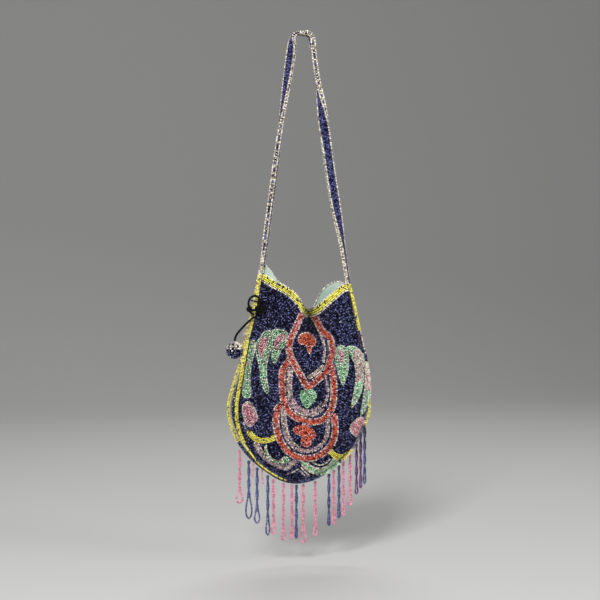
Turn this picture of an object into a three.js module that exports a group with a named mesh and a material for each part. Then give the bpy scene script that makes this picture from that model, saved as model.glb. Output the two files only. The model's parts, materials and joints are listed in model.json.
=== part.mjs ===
// A beaded purse that hangs by its strap. Two pillowed panels covered with bead fields are joined by a narrow
// gusset, the lined mouth dips in the middle where the front is pinched, a flat bead strap runs from corner to
// corner, a fringe of twisted bead strings hangs from the bottom edge, and a beaded ball hangs on a cord.
// Millimetres, +Z up, the front faces -Y. The origin is on the underside of the strap, where the purse hangs.
import * as THREE from "three";

// Clearances
const seatGap = 0.35; // between pieces sewn edge to edge
const slopeGap = 0.85; // the same where an edge runs steeply or round a bend
const reliefGap = 0.6; // between a panel and the bead fields that lie on it

// Bag
const bagWidth = 147; // twice the panel's half width at the belly
const bagHeight = 218; // left corner of the front mouth to the bottom of the panel
const strapDrop = 251; // underside of the strap to the left corner of the front mouth
const panelThickness = 2.2; // cloth with its beads
const liningThickness = 0.8;
const bulgeAtMouth = 11; // how far a panel stands out of its seam
const bulgeAtBelly = 17;
const backBulgeShare = 0.9; // the back is a little flatter than the front
const pillowReach = 46; // width of the rounded border inside the seam
const seamHalfGapEnds = 2.8; // half the space between the two panels at the corners and bottom
const seamHalfGapBelly = 8;
const rightSeamTuck = 7; // the right seam is turned to the back at the belly
const gussetThickness = 1.6;

// Mouth
const mouthDip = 32.5; // depth of the front edge's dip
const backMouthDip = 40;
const mouthBandDrop = 8; // yellow band, measured down the side
const pipingRadius = 0.95;
const pinchDepth = 13; // how far the front is pinched in at the dip
const backPinchDepth = 7;
const pinchReach = 8;

// Edging round the sides and bottom
const edgingRadius = 2.1;

// Bead fields
const reliefThickness = 1;
const ovalBand = 5.2; // width of the red bands
const innerBand = 4;
const scallopBand = 4.8;

// Strap
const strapWidth = 11.5;
const strapThickness = 4.2; // two layers of bead cloth
const strapEdgeWidth = 2; // cream rows along each edge
const strapFlat = 9; // straight stretch on which the purse hangs
const strapBend = 4; // inside radius beside it
const strapSeat = 1.2; // strap end above the corner that it is sewn to

// Fringe
const stringRadius = 0.85;
const twistRadius = 1.02; // from a double string's axis to each of its two strings
const fringeGap = 0.3; // room at the stitch for the string to swing
const twistLength = 24; // one full turn
const slabGap = 0.5; // between the widths that two neighbouring strings may take

// Cord with its ball
const cordRadius = 0.65;
const hangingRadius = 1.2; // the hanging end is doubled
const knotSize = 3;
const ballRadius = 9.2;
const ballDrop = 84; // corner to the place on the edge beside which the ball hangs
const loopDrop = 29; // corner to the cord's loop round the edge
const knotDrop = 39;

const paint = (color, roughness) => new THREE.MeshStandardMaterial({ color, roughness, metalness: 0 });
const navyBeads = paint(0x23233f, 0.35);
const yellowBeads = paint(0xeddc45, 0.35);
const creamBeads = paint(0xe9dfca, 0.4);
const redBeads = paint(0xc6473d, 0.35);
const greenBeads = paint(0x7dbd92, 0.35);
const pinkBeads = paint(0xd98a9a, 0.35);
const lilacBeads = paint(0xa88b98, 0.4);
const fringePink = paint(0xd57f9b, 0.35);
const fringeNavy = paint(0x3d3d66, 0.35);
const satin = paint(0xa9d4c9, 0.45);
const darkCloth = paint(0x2a2226, 0.9);
const blackCord = paint(0x121212, 0.85);

const purse = new THREE.Group();

function add(name, geometry, material) {
  const mesh = new THREE.Mesh(geometry, material);
  mesh.name = name;
  purse.add(mesh);
  return mesh;
}

const mix = THREE.MathUtils.lerp;
const smoothstep = THREE.MathUtils.smoothstep;

// Smooth curve through a list of [place, value], read at any place.
function through(list) {
  const slope = (i) => {
    const a = list[Math.max(i - 1, 0)];
    const b = list[Math.min(i + 1, list.length - 1)];
    return (b[1] - a[1]) / (b[0] - a[0]);
  };
  return (place) => {
    let i = 0;
    while (i < list.length - 2 && place > list[i + 1][0]) i += 1;
    const [x0, y0] = list[i];
    const [x1, y1] = list[i + 1];
    const width = x1 - x0;
    const t = THREE.MathUtils.clamp((place - x0) / width, 0, 1);
    const rise = y1 - y0;
    const s0 = slope(i) * width;
    const s1 = slope(i + 1) * width;
    return y0 + t * s0 + t * t * (3 * rise - 2 * s0 - s1) + t * t * t * (s0 + s1 - 2 * rise);
  };
}

// Closed body from a list of points and triangles, turned to face out.
function body(points, triangles) {
  let volume = 0;
  for (const [a, b, c] of triangles) {
    volume += points[a].dot(new THREE.Vector3().crossVectors(points[b], points[c]));
  }
  const facing = volume < 0 ? triangles.map(([a, b, c]) => [a, c, b]) : triangles;
  const geometry = new THREE.BufferGeometry().setFromPoints(points);
  geometry.setIndex(facing.flat());
  geometry.computeVertexNormals();
  return geometry;
}

// Body through a row of like sections, with a flat cap on each end.
function loft(sections) {
  const count = sections[0].length;
  const triangles = [];
  for (let i = 0; i + 1 < sections.length; i += 1) {
    for (let j = 0; j < count; j += 1) {
      const k = (j + 1) % count;
      const a = i * count + j;
      const b = i * count + k;
      triangles.push([a, b, b + count], [a, b + count, a + count]);
    }
  }
  const last = (sections.length - 1) * count;
  for (let j = 0; j < count / 2 - 1; j += 1) {
    const across = count - 1 - j;
    triangles.push([j, across, j + 1], [j + 1, across, across - 1]);
    triangles.push([last + j, last + j + 1, last + across], [last + j + 1, last + across - 1, last + across]);
  }
  return body(sections.flat(), triangles.filter(([a, b, c]) => a !== b && b !== c && a !== c));
}

// Thin body between two grids of points: faces, backs and the rim round them.
function shell(faces, backs) {
  const rows = faces.length;
  const columns = faces[0].length;
  const half = rows * columns;
  const at = (i, j) => i * columns + j;
  const triangles = [];
  for (let i = 0; i + 1 < rows; i += 1) {
    for (let j = 0; j + 1 < columns; j += 1) {
      const corners = [at(i, j), at(i, j + 1), at(i + 1, j + 1), at(i + 1, j)];
      const [a, b, c, d] = corners;
      const [e, f, g, h] = corners.map((corner) => corner + half);
      triangles.push([a, b, c], [a, c, d], [e, g, f], [e, h, g]);
    }
  }
  const rim = [];
  for (let j = 0; j < columns - 1; j += 1) rim.push(at(0, j));
  for (let i = 0; i < rows - 1; i += 1) rim.push(at(i, columns - 1));
  for (let j = columns - 1; j > 0; j -= 1) rim.push(at(rows - 1, j));
  for (let i = rows - 1; i > 0; i -= 1) rim.push(at(i, 0));
  rim.forEach((a, index) => {
    const b = rim[(index + 1) % rim.length];
    triangles.push([b, a, a + half], [b, a + half, b + half]);
  });
  return body([...faces.flat(), ...backs.flat()], triangles);
}

// Round bar along a smooth line through points.
function bar(points, radius, sides, steps) {
  const ring = [];
  for (let i = 0; i < sides; i += 1) {
    const angle = (2 * Math.PI * i) / sides;
    ring.push(new THREE.Vector2(radius * Math.cos(angle), radius * Math.sin(angle)));
  }
  const extrudePath = new THREE.CatmullRomCurve3(points, false, "centripetal");
  return new THREE.ExtrudeGeometry(new THREE.Shape(ring), { steps, extrudePath, bevelEnabled: false });
}

// Outline of a panel, as shares of the half width and of the height, from the left corner round to the right.
const frontOutline = [
  [-0.59, 0], [-0.7, 0.2], [-0.79, 0.32], [-0.88, 0.48], [-0.96, 0.65], [-0.895, 0.773], [-0.745, 0.853],
  [-0.61, 0.91], [-0.26, 0.986], [0, 1], [0.285, 0.972], [0.55, 0.91], [0.7, 0.86], [0.87, 0.75],
  [0.96, 0.63], [0.985, 0.54], [0.94, 0.44], [0.85, 0.33], [0.717, 0.122], [0.664, 0.053],
];
const backOutline = [
  [-0.555, -0.045], [-0.7, 0.2], [-0.76, 0.32], [-0.907, 0.49], [-1.03, 0.655], [-0.935, 0.78],
  [-0.765, 0.868], [-0.61, 0.918], [-0.26, 0.995], [0, 1.008], [0.285, 0.98], [0.55, 0.918], [0.7, 0.87],
  [0.87, 0.76], [0.97, 0.63], [0.99, 0.54], [0.94, 0.44], [0.85, 0.33], [0.717, 0.122], [0.664, 0.053],
];
// Dip of the mouth edge below the line between its corners, along the width.
const frontDip = [
  [0, 0], [0.12, 0.19], [0.26, 0.35], [0.36, 0.53], [0.45, 0.8], [0.53, 1], [0.6, 0.89], [0.66, 0.71],
  [0.79, 0.385], [0.93, 0.07], [1, 0],
];
const backDip = [
  [0, 0], [0.09, 0.15], [0.155, 0.3], [0.28, 0.52], [0.42, 0.9], [0.5, 1], [0.59, 0.93], [0.655, 0.7],
  [0.715, 0.42], [0.78, 0.215], [0.855, 0.07], [0.92, 0], [1, 0],
];

const halfWidth = bagWidth / 2;
const place = ([a, h]) => new THREE.Vector3(a * halfWidth, 0, -strapDrop - h * bagHeight);
const heightShare = (z) => (-strapDrop - z) / bagHeight;

// One side of the bag: its outline, the line of its mouth, and its pillowed surface over the X-Z plane.
function makeSide(facing, outlineShares, dipShares, dip, bulgeShare, pinch) {
  const outline = new THREE.CatmullRomCurve3(outlineShares.map(place), false, "centripetal");
  outline.arcLengthDivisions = 600;
  const length = outline.getLength();
  const fence = outline.getSpacedPoints(240);
  const dipAt = through(dipShares);
  const closest = new THREE.Vector3();
  const segment = new THREE.Line3();

  // Distance in from the seam, negative outside it.
  const seamDistance = (point) => {
    let best = Infinity;
    let inside = 1;
    for (let i = 0; i + 1 < fence.length; i += 1) {
      segment.set(fence[i], fence[i + 1]).closestPointToPoint(point, true, closest);
      const distance = closest.distanceTo(point);
      if (distance < best) {
        const { x, z } = fence[i + 1].clone().sub(fence[i]);
        inside = Math.sign(x * (point.z - fence[i].z) - z * (point.x - fence[i].x));
        best = distance;
      }
    }
    return inside * best;
  };
  const roundness = (distance) => {
    const share = THREE.MathUtils.clamp(distance / pillowReach, 0, 1);
    return Math.sqrt(1 - (1 - share) ** 2);
  };
  const edgeStart = 0.4;

  // Seam half gap and seam plane at a place of the X-Z plane.
  const seamGapAt = (z) => {
    const share = THREE.MathUtils.clamp(heightShare(z), 0, 1);
    return mix(seamHalfGapEnds, seamHalfGapBelly, Math.sin(Math.PI * share ** 1.4) ** 1.5);
  };
  const seamPlaneAt = (x, z) => {
    const side = smoothstep(x / halfWidth, 0.3, 0.95);
    return rightSeamTuck * side * Math.exp(-(((heightShare(z) - 0.51) / 0.15) ** 2));
  };

  const surfaceY = (x, z) => {
    const share = heightShare(z);
    const start = roundness(edgeStart);
    const swell = (roundness(seamDistance(new THREE.Vector3(x, 0, z)) + edgeStart) - start) / (1 - start);
    const bulge = mix(bulgeAtMouth, bulgeAtBelly, smoothstep(share, 0.05, 0.55)) * bulgeShare;
    const fade = 1 - smoothstep(share, 0.17, 0.33);
    const valley = pinch * fade * Math.exp(-(((x - pinchX) / pinchReach) ** 2));
    return seamPlaneAt(x, z) + facing * (seamGapAt(z) + bulge * swell - valley);
  };

  // Point of the surface over (x, z), moved out of it by a distance.
  const point = (x, z, out = 0) => {
    const step = 0.05;
    const slopeX = (surfaceY(x + step, z) - surfaceY(x - step, z)) / (2 * step);
    const slopeZ = (surfaceY(x, z + step) - surfaceY(x, z - step)) / (2 * step);
    const normal = new THREE.Vector3(-slopeX, 1, -slopeZ).normalize().multiplyScalar(facing * out);
    return new THREE.Vector3(x, surfaceY(x, z), z).add(normal);
  };

  // Line of the mouth, or the same line a drop lower down the sides.
  const mouthLine = (u, drop) => {
    const left = outline.getPointAt(drop / length);
    const right = outline.getPointAt(1 - drop / length);
    const spot = left.lerp(right, u);
    spot.z -= dip * dipAt(u);
    return spot;
  };

  // Outline place by arc share, moved outwards in the X-Z plane, at the height of the seam.
  const rim = (share, outwards, depth = 0) => {
    const spot = outline.getPointAt(share);
    const along = outline.getTangentAt(share);
    const y = seamPlaneAt(spot.x, spot.z) + facing * (seamGapAt(spot.z) + depth);
    return new THREE.Vector3(spot.x + along.z * outwards, y, spot.z - along.x * outwards);
  };

  // Arc share at which the left side passes a height.
  const leftShareAt = (z) => {
    let share = 0;
    while (outline.getPointAt(share).z > z) share += 0.002;
    return share;
  };
  return { facing, outline, length, point, mouthLine, rim, seamGapAt, seamPlaneAt, leftShareAt };
}

const mouthMiddle = 0.54; // share of the mouth's width at which the front is pinched
const pinchX = mix(place(frontOutline[0]).x, place(frontOutline.at(-1)).x, mouthMiddle);
const front = makeSide(-1, frontOutline, frontDip, mouthDip, 1, pinchDepth);
const back = makeSide(1, backOutline, backDip, backMouthDip, backBulgeShare, backPinchDepth);

// Grid of places that fills a panel below a drop from its mouth, closer together at the seams and the pinch.
const sideShare = 0.36; // share of the outline that is a side, the rest is the bottom
const columns = 18;
const columnShares = [];
for (let j = 0; j <= columns; j += 1) {
  const t = j / columns;
  columnShares.push(t - (0.4 * Math.sin(4 * Math.PI * t)) / (4 * Math.PI));
}

function panelPlaces(side, drop, rows) {
  const first = drop / side.length;
  const left = (v) => side.outline.getPointAt(mix(first, sideShare, v));
  const right = (v) => side.outline.getPointAt(1 - mix(first, sideShare, v));
  const top = (u) => side.mouthLine(u, drop);
  const bottom = (u) => side.outline.getPointAt(mix(sideShare, 1 - sideShare, u));
  const places = [];
  for (let i = 0; i <= rows; i += 1) {
    const v = i / rows + (0.3 * Math.sin((Math.PI * i) / rows)) / Math.PI;
    places.push(columnShares.map((u) => {
      const spot = top(u).multiplyScalar(1 - v).addScaledVector(bottom(u), v);
      spot.addScaledVector(left(v), 1 - u).addScaledVector(right(v), u);
      spot.addScaledVector(top(0), -(1 - u) * (1 - v)).addScaledVector(top(1), -u * (1 - v));
      return spot.addScaledVector(bottom(0), -(1 - u) * v).addScaledVector(bottom(1), -u * v);
    }));
  }
  return places;
}

const mouthRow = (side, drop) => columnShares.map((u) => side.mouthLine(u, drop));
const onSide = (side, places, out) => places.map((row) => row.map((spot) => side.point(spot.x, spot.z, out)));
const coat = (side, places, outer, inner) => shell(onSide(side, places, outer), onSide(side, places, inner));

// Panel, satin lining and the yellow band of the mouth on each side
function dress(side, name, rows) {
  const lower = panelPlaces(side, mouthBandDrop + slopeGap, rows);
  const band = [mouthRow(side, 0), mouthRow(side, mouthBandDrop)];
  const lining = [mouthRow(side, 0), ...lower];
  const liningOuter = -panelThickness - seatGap;
  add(name + "_panel", coat(side, lower, 0, -panelThickness), navyBeads);
  add("lining_" + name, coat(side, lining, liningOuter, liningOuter - liningThickness), satin);
  add("mouth_band_" + name, coat(side, band, 0, -panelThickness), yellowBeads);
}
dress(front, "front", 11);
dress(back, "back", 8);

// Cream bead row along the upper edge of each mouth band
function mouthPiping(side) {
  const lift = pipingRadius + slopeGap;
  const endInset = 0.035;
  const count = 24;
  const points = [];
  for (let j = 0; j <= count; j += 1) {
    const u = mix(endInset, 1 - endInset, j / count);
    const spot = side.mouthLine(u, 0);
    const run = side.mouthLine(u + 0.005, 0).sub(side.mouthLine(u - 0.005, 0)).normalize();
    const middle = side.point(spot.x, spot.z, -panelThickness / 2);
    points.push(middle.add(new THREE.Vector3(-run.z, 0, run.x).multiplyScalar(lift)));
  }
  return bar(points, pipingRadius, 4, 26);
}
add("mouth_piping_front", mouthPiping(front), creamBeads);
add("mouth_piping_back", mouthPiping(back), creamBeads);

// Yellow bead edge round the sides and bottom of each panel
const edgingOut = seatGap + edgingRadius;
function edging(side) {
  const count = 60;
  const points = [];
  for (let i = 0; i <= count; i += 1) points.push(side.rim(i / count, edgingOut));
  return bar(points, edgingRadius, 6, 42);
}
add("edging_front", edging(front), yellowBeads);
add("edging_back", edging(back), yellowBeads);

// Dark strip between the panels, from one corner round the bottom to the other
const gussetInset = 0.2;
const gussetClear = panelThickness * 0.45 + seatGap; // a panel's rim leans this far into the seam
function gusset() {
  const sections = [];
  const count = 32;
  for (let i = 0; i <= count; i += 1) {
    const share = mix(0.03, 0.97, i / count);
    const inner = gussetInset + gussetThickness;
    sections.push([
      front.rim(share, -gussetInset, -gussetClear),
      front.rim(share, -inner, -gussetClear),
      back.rim(share, -inner, -gussetClear),
      back.rim(share, -gussetInset, -gussetClear),
    ]);
  }
  return loft(sections);
}
add("seam_gusset", gusset(), darkCloth);

// Bead field on the front: a strip along a line of [share of half width, share of height], with a half width
// for each of its stations.
function field(name, line, halfWidths, material, steps = 16, across = 1) {
  const spine = new THREE.CatmullRomCurve3(line.map(place), false, "centripetal");
  const stations = halfWidths.map((value, i) => [i / (halfWidths.length - 1), value]);
  const halfAt = halfWidths.length > 1 ? through(stations) : () => halfWidths[0];
  const sections = [];
  for (let i = 0; i <= steps; i += 1) {
    const t = i / steps;
    const spot = spine.getPointAt(t);
    const run = spine.getTangentAt(t);
    const half = Math.max(halfAt(t), 0.4);
    const backs = [];
    const faces = [];
    for (let j = 0; j <= across; j += 1) {
      const side = half * ((2 * j) / across - 1);
      const x = spot.x - run.z * side;
      const z = spot.z + run.x * side;
      backs.push(front.point(x, z, reliefGap));
      faces.push(front.point(x, z, reliefGap + reliefThickness));
    }
    sections.push([...backs, ...faces.reverse()]);
  }
  add(name, loft(sections), material);
}

// Column of three red bands with a motif in each
field("oval_top", [
  [-0.1, 0.235], [-0.215, 0.28], [-0.285, 0.36], [-0.215, 0.43], [-0.01, 0.54], [0.2, 0.455], [0.34, 0.395],
  [0.37, 0.345], [0.3, 0.288], [0.115, 0.236],
], [ovalBand / 2], redBeads, 30);
field("oval_middle", [
  [-0.38, 0.455], [-0.395, 0.54], [-0.355, 0.622], [-0.235, 0.687], [0.005, 0.724], [0.215, 0.705],
  [0.345, 0.647], [0.39, 0.565], [0.375, 0.48],
], [ovalBand / 2], redBeads, 24);
field("oval_low", [
  [-0.46, 0.668], [-0.475, 0.735], [-0.415, 0.822], [-0.265, 0.88], [-0.08, 0.904], [0.155, 0.885],
  [0.335, 0.822], [0.4, 0.75], [0.405, 0.692],
], [ovalBand / 2], redBeads, 24);
field("inner_ring_middle", [
  [-0.28, 0.48], [-0.285, 0.555], [-0.22, 0.628], [-0.07, 0.676], [0.08, 0.678], [0.215, 0.642],
  [0.275, 0.575], [0.275, 0.5],
], [innerBand / 2], lilacBeads, 20);
field("inner_ring_low", [
  [-0.355, 0.72], [-0.36, 0.78], [-0.275, 0.832], [-0.11, 0.866], [0.085, 0.852], [0.25, 0.808], [0.3, 0.75],
], [innerBand / 2], lilacBeads, 18);
field("flower_top", [[0.005, 0.29], [0.01, 0.34], [0.02, 0.39]], [4, 9.5, 8.5, 3, 2, 2], redBeads, 12, 4);
field("shield_middle", [[0, 0.572], [0, 0.61], [0, 0.65]], [6.5, 9, 7.5, 4.5, 1], greenBeads, 10, 4);
field("flower_low", [[-0.04, 0.752], [-0.04, 0.8], [-0.035, 0.838]], [5, 11, 9, 2.5, 2, 2], redBeads, 12, 4);

// Plumes, buds and scallops on both sides
field("plume_left_1", [[-0.752, 0.345], [-0.772, 0.405], [-0.815, 0.48], [-0.862, 0.555], [-0.885, 0.6]],
  [2, 3.4, 3.2, 2.4, 0.5], greenBeads, 12, 2);
field("plume_left_2", [[-0.672, 0.302], [-0.655, 0.37], [-0.629, 0.458], [-0.606, 0.536], [-0.599, 0.589]],
  [2.5, 4.6, 4.2, 3, 0.5], greenBeads, 12, 2);
field("plume_left_3", [[-0.385, 0.278], [-0.4, 0.332], [-0.446, 0.385], [-0.476, 0.429]],
  [3, 5, 4, 0.5], greenBeads, 10, 2);
field("plume_right_1", [[0.512, 0.356], [0.52, 0.409], [0.534, 0.477], [0.542, 0.54]],
  [3, 5, 3.8, 0.5], greenBeads, 10, 2);
field("plume_right_2", [[0.76, 0.375], [0.752, 0.443], [0.738, 0.526], [0.718, 0.599], [0.706, 0.652]],
  [2.6, 4.6, 4.2, 3, 0.5], greenBeads, 12, 2);
field("plume_right_3", [[0.862, 0.415], [0.892, 0.47], [0.905, 0.53], [0.895, 0.6], [0.868, 0.665]],
  [1.2, 2.2, 2.4, 2, 0.5], greenBeads, 12, 2);
field("bud_left", [[-0.824, 0.628], [-0.839, 0.677], [-0.824, 0.735]], [3, 6.4, 2], pinkBeads, 8, 3);
field("bud_right", [[0.815, 0.701], [0.765, 0.74], [0.696, 0.784]], [3, 5.8, 2], pinkBeads, 8, 3);
field("scallop_yellow_left",
  [[-0.832, 0.768], [-0.752, 0.798], [-0.658, 0.813], [-0.56, 0.81], [-0.5, 0.8]], [scallopBand / 2],
  yellowBeads, 12);
field("scallop_yellow_right",
  [[0.382, 0.848], [0.452, 0.868], [0.52, 0.874], [0.59, 0.866], [0.635, 0.85]], [scallopBand / 2],
  yellowBeads, 12);
field("scallop_green_left",
  [[-0.69, 0.835], [-0.61, 0.866], [-0.5, 0.898], [-0.375, 0.918], [-0.285, 0.914]], [scallopBand / 2],
  greenBeads, 12);
field("scallop_green_right",
  [[0.05, 0.932], [0.12, 0.944], [0.2, 0.948], [0.3, 0.94], [0.38, 0.917]], [scallopBand / 2],
  greenBeads, 12);

// Strap: a flat band that turns as it falls, with a bead row along each edge. Turn is the angle of its width
// from the Y axis, in degrees, along each leg from the top to the corner.
const leftTurn = through([[0, 0], [0.05, -35], [0.15, -32], [0.25, -15], [0.38, 8], [0.5, 20], [1, 24]]);
const rightTurn = through([
  [0, 0], [0.06, 14], [0.17, 16], [0.24, 35], [0.34, 66], [0.45, 82], [0.62, 82], [0.72, 66], [0.8, 44],
  [0.87, 32], [1, 28],
]);
const strapEnds = {
  left: back.outline.getPointAt(0).add(new THREE.Vector3(0, 0, strapSeat)),
  right: back.outline.getPointAt(1).add(new THREE.Vector3(0, 0, strapSeat)),
};

// Stations of the strap's underside from the left end over the top to the right end.
function strapStations() {
  const legSteps = 20;
  const bendSteps = 3;
  const half = (hand, end, turnAt) => {
    const stations = [{ x: (hand * strapFlat) / 2, z: 0, turn: 0 }];
    const corner = new THREE.Vector2((hand * strapFlat) / 2, -strapBend);
    const lean = Math.atan2(Math.abs(end.x - corner.x) - strapBend, corner.y - end.z);
    for (let i = 1; i <= bendSteps; i += 1) {
      const angle = ((Math.PI / 2 - lean) * i) / bendSteps;
      stations.push({
        x: corner.x + hand * strapBend * Math.sin(angle),
        z: corner.y + strapBend * Math.cos(angle),
        turn: 0,
      });
    }
    const foot = stations.at(-1);
    for (let i = 1; i <= legSteps; i += 1) {
      const t = i / legSteps;
      stations.push({ x: mix(foot.x, end.x, t), z: mix(foot.z, end.z, t), turn: turnAt(t) });
    }
    return stations;
  };
  return [...half(-1, strapEnds.left, leftTurn).reverse(), ...half(1, strapEnds.right, rightTurn)];
}

// Middle of the underside, direction of the width and direction out of the face at each station.
function strapFrames() {
  const stations = strapStations();
  const spots = stations.map(({ x, z }) => new THREE.Vector3(x, 0, z));
  return stations.map(({ turn }, i) => {
    const before = spots[Math.max(i - 1, 0)];
    const after = spots[Math.min(i + 1, spots.length - 1)];
    const run = after.clone().sub(before).normalize();
    const angle = THREE.MathUtils.degToRad(turn);
    const across = new THREE.Vector3(Math.sin(angle), Math.cos(angle), 0);
    across.addScaledVector(run, -across.dot(run)).normalize();
    return { spot: spots[i], across, out: run.clone().cross(across) };
  });
}

const strapBandHalf = strapWidth / 2 - strapEdgeWidth - seatGap;
const frames = strapFrames();
const strapPoint = ({ spot, across, out }, side, height) =>
  spot.clone().addScaledVector(across, side).addScaledVector(out, height);
add("strap_band", loft(frames.map((frame) => [
  strapPoint(frame, -strapBandHalf, 0),
  strapPoint(frame, strapBandHalf, 0),
  strapPoint(frame, strapBandHalf, strapThickness),
  strapPoint(frame, -strapBandHalf, strapThickness),
])), navyBeads);

// Bead rows along one edge of the strap. Its faces are split the same way as the band's beside them, so that
// the space between the two stays even where the strap turns.
function strapEdge(hand) {
  const outer = (hand * strapWidth) / 2;
  const inner = hand * (strapBandHalf + seatGap);
  const [first, second] = hand < 0 ? [0, strapThickness] : [strapThickness, 0];
  return loft(frames.map((frame) => [
    strapPoint(frame, inner, first),
    strapPoint(frame, outer, first),
    strapPoint(frame, outer, second),
    strapPoint(frame, inner, second),
  ]));
}
add("strap_edge_front", strapEdge(-1), creamBeads);
add("strap_edge_back", strapEdge(1), creamBeads);

// Fringe strings: place along the half width, length, loop width, loop length and bead colour.
const strings = [
  { at: -0.91, length: 58, loop: [8.5, 13], beads: fringePink },
  { at: -0.777, length: 63, loop: [8, 24], beads: fringeNavy },
  { at: -0.657, length: 60.5, loop: [7, 15], beads: fringeNavy },
  { at: -0.5, length: 65, loop: [5.5, 16], beads: fringeNavy },
  { at: -0.418, length: 61, loop: [5, 14], beads: fringePink },
  { at: -0.27, length: 62, loop: [6, 10], beads: fringePink },
  { at: -0.143, length: 59.5, loop: [4, 9], beads: fringePink },
  { at: -0.075, length: 59, loop: [3.6, 8], beads: fringeNavy },
  { at: 0.03, length: 64, loop: [8, 15], beads: fringePink },
  { at: 0.21, length: 60, loop: [5.6, 10], beads: fringePink },
  { at: 0.418, length: 57, loop: [4, 8], beads: fringeNavy },
  { at: 0.492, length: 60, loop: [5, 10], beads: fringePink },
  { at: 0.574, length: 58, loop: [4.2, 11], beads: fringeNavy },
  { at: 0.642, length: 60, loop: [4, 9], beads: fringePink },
  { at: 0.747, length: 56, loop: [6, 15], beads: fringePink },
  { at: 0.85, length: 56, loop: [4.4, 9], beads: fringeNavy },
  { at: 0.918, length: 60, loop: [3.8, 8], beads: fringeNavy },
  { at: 0.985, length: 69, loop: [4, 12], beads: fringeNavy },
];

// Stitch of a string: just below the edging of the back, at a place across the bag, for a string of
// a half width.
const edgingReach = seatGap + 2 * edgingRadius;
function stitch(x, half) {
  let low = 0.3;
  let high = 0.75;
  const at = (share) => {
    const steep = Math.abs(back.outline.getTangentAt(share).z);
    return back.rim(share, edgingReach + fringeGap + half * steep);
  };
  for (let i = 0; i < 40; i += 1) {
    const share = (low + high) / 2;
    if (at(share).x < x) low = share;
    else high = share;
  }
  return at(low);
}

// A string of beads doubled and twisted, with an open loop left at the lower end.
function twistedString(top, length, loopWidth, loopLength) {
  const twisted = length - loopLength;
  const halfTurns = Math.max(Math.round((2 * twisted) / twistLength), 1);
  const strand = (start) => {
    const points = [];
    const count = 3 * halfTurns;
    for (let i = 0; i <= count; i += 1) {
      const angle = start + (Math.PI * halfTurns * i) / count;
      const x = top.x + twistRadius * Math.cos(angle);
      const y = top.y + twistRadius * Math.sin(angle);
      points.push(new THREE.Vector3(x, y, top.z - (twisted * i) / count));
    }
    return points;
  };
  const down = strand(0);
  const up = strand(Math.PI).reverse();
  const reach = (down.at(-1).x > top.x ? 1 : -1) * (loopWidth / 2 - stringRadius);
  const loopPoint = (side, depth) => new THREE.Vector3(top.x + side, top.y, top.z - twisted - depth * tip);
  const tip = loopLength - stringRadius;
  const loop = [
    loopPoint(reach, 0.55), loopPoint(0.75 * reach, 0.88), loopPoint(0, 1), loopPoint(-0.75 * reach, 0.88),
    loopPoint(-reach, 0.55),
  ];
  return bar([...down, ...loop, ...up], stringRadius, 4, Math.round((2 * length) / 5));
}

const stitches = strings.map(({ at }) => stitch(at * halfWidth, twistRadius + stringRadius / 2));
strings.forEach(({ length, loop, beads }, i) => {
  const before = i > 0 ? stitches[i].x - stitches[i - 1].x : Infinity;
  const after = i + 1 < strings.length ? stitches[i + 1].x - stitches[i].x : Infinity;
  const room = Math.min(before, after) - slabGap;
  const name = "fringe_" + String(i + 1).padStart(2, "0");
  add(name, twistedString(stitches[i], length, Math.min(loop[0], room), loop[1]), beads);
});

// Broken strings: short stubs that lean a little.
function stub(name, at, lean, length) {
  const top = stitch(at * halfWidth, stringRadius / 2);
  const middle = top.clone().add(new THREE.Vector3(lean * 0.3, 0, -length / 2));
  const end = top.clone().add(new THREE.Vector3(lean, 0, -length));
  add(name, bar([top, middle, end], stringRadius, 5, 4), fringePink);
}
stub("fringe_stub_1", -0.712, -1, 14);
stub("fringe_stub_2", -0.585, 1, 14);

// Cord: a loop round the left edge, a knot in front of it, the hanging end and the ball.
const loopShare = front.leftShareAt(-strapDrop - loopDrop);
const clearEdge = edgingRadius + slopeGap + cordRadius;
const loopInset = 3.4;
function onPanel(side, share) {
  const spot = side.rim(share, -loopInset);
  return side.point(spot.x, spot.z, seatGap + cordRadius);
}
add("cord_loop", bar([
  onPanel(front, loopShare),
  front.rim(loopShare, edgingOut, clearEdge),
  front.rim(loopShare, edgingOut + clearEdge, 0),
  back.rim(back.leftShareAt(-strapDrop - loopDrop), edgingOut + clearEdge, 0),
  back.rim(back.leftShareAt(-strapDrop - loopDrop), edgingOut, clearEdge),
  onPanel(back, back.leftShareAt(-strapDrop - loopDrop)),
], cordRadius, 8, 12), blackCord);

const knotThickness = knotSize / 2 + cordRadius;
const knotSpot = front.rim(front.leftShareAt(-strapDrop - knotDrop), edgingOut,
  edgingRadius + slopeGap + knotThickness);
const knot = add("cord_knot", new THREE.TorusKnotGeometry(knotSize, cordRadius, 28, 4, 2, 3), blackCord);
knot.rotation.x = Math.PI / 2;
knot.position.copy(knotSpot);

const ballSpot = back.rim(back.leftShareAt(-strapDrop - ballDrop), edgingReach + seatGap + ballRadius);
ballSpot.y = 0;
const knotReach = 1.5 * knotSize + cordRadius;
const cordTop = knotSpot.clone().add(new THREE.Vector3(-1, 0, -knotReach - seatGap));
const cordEnd = ballSpot.clone().add(new THREE.Vector3(0, 0, ballRadius + slopeGap));
const onWay = (x, y, z) =>
  new THREE.Vector3(mix(cordTop.x, cordEnd.x, x), mix(cordTop.y, cordEnd.y, y), mix(cordTop.z, cordEnd.z, z));
const cordRoute = [cordTop, onWay(0.3, 0.1, 0.2), onWay(0.65, 0.4, 0.48), onWay(0.93, 0.8, 0.78), cordEnd];
add("pendant_cord", bar(cordRoute, hangingRadius, 8, 12), blackCord);

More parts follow.
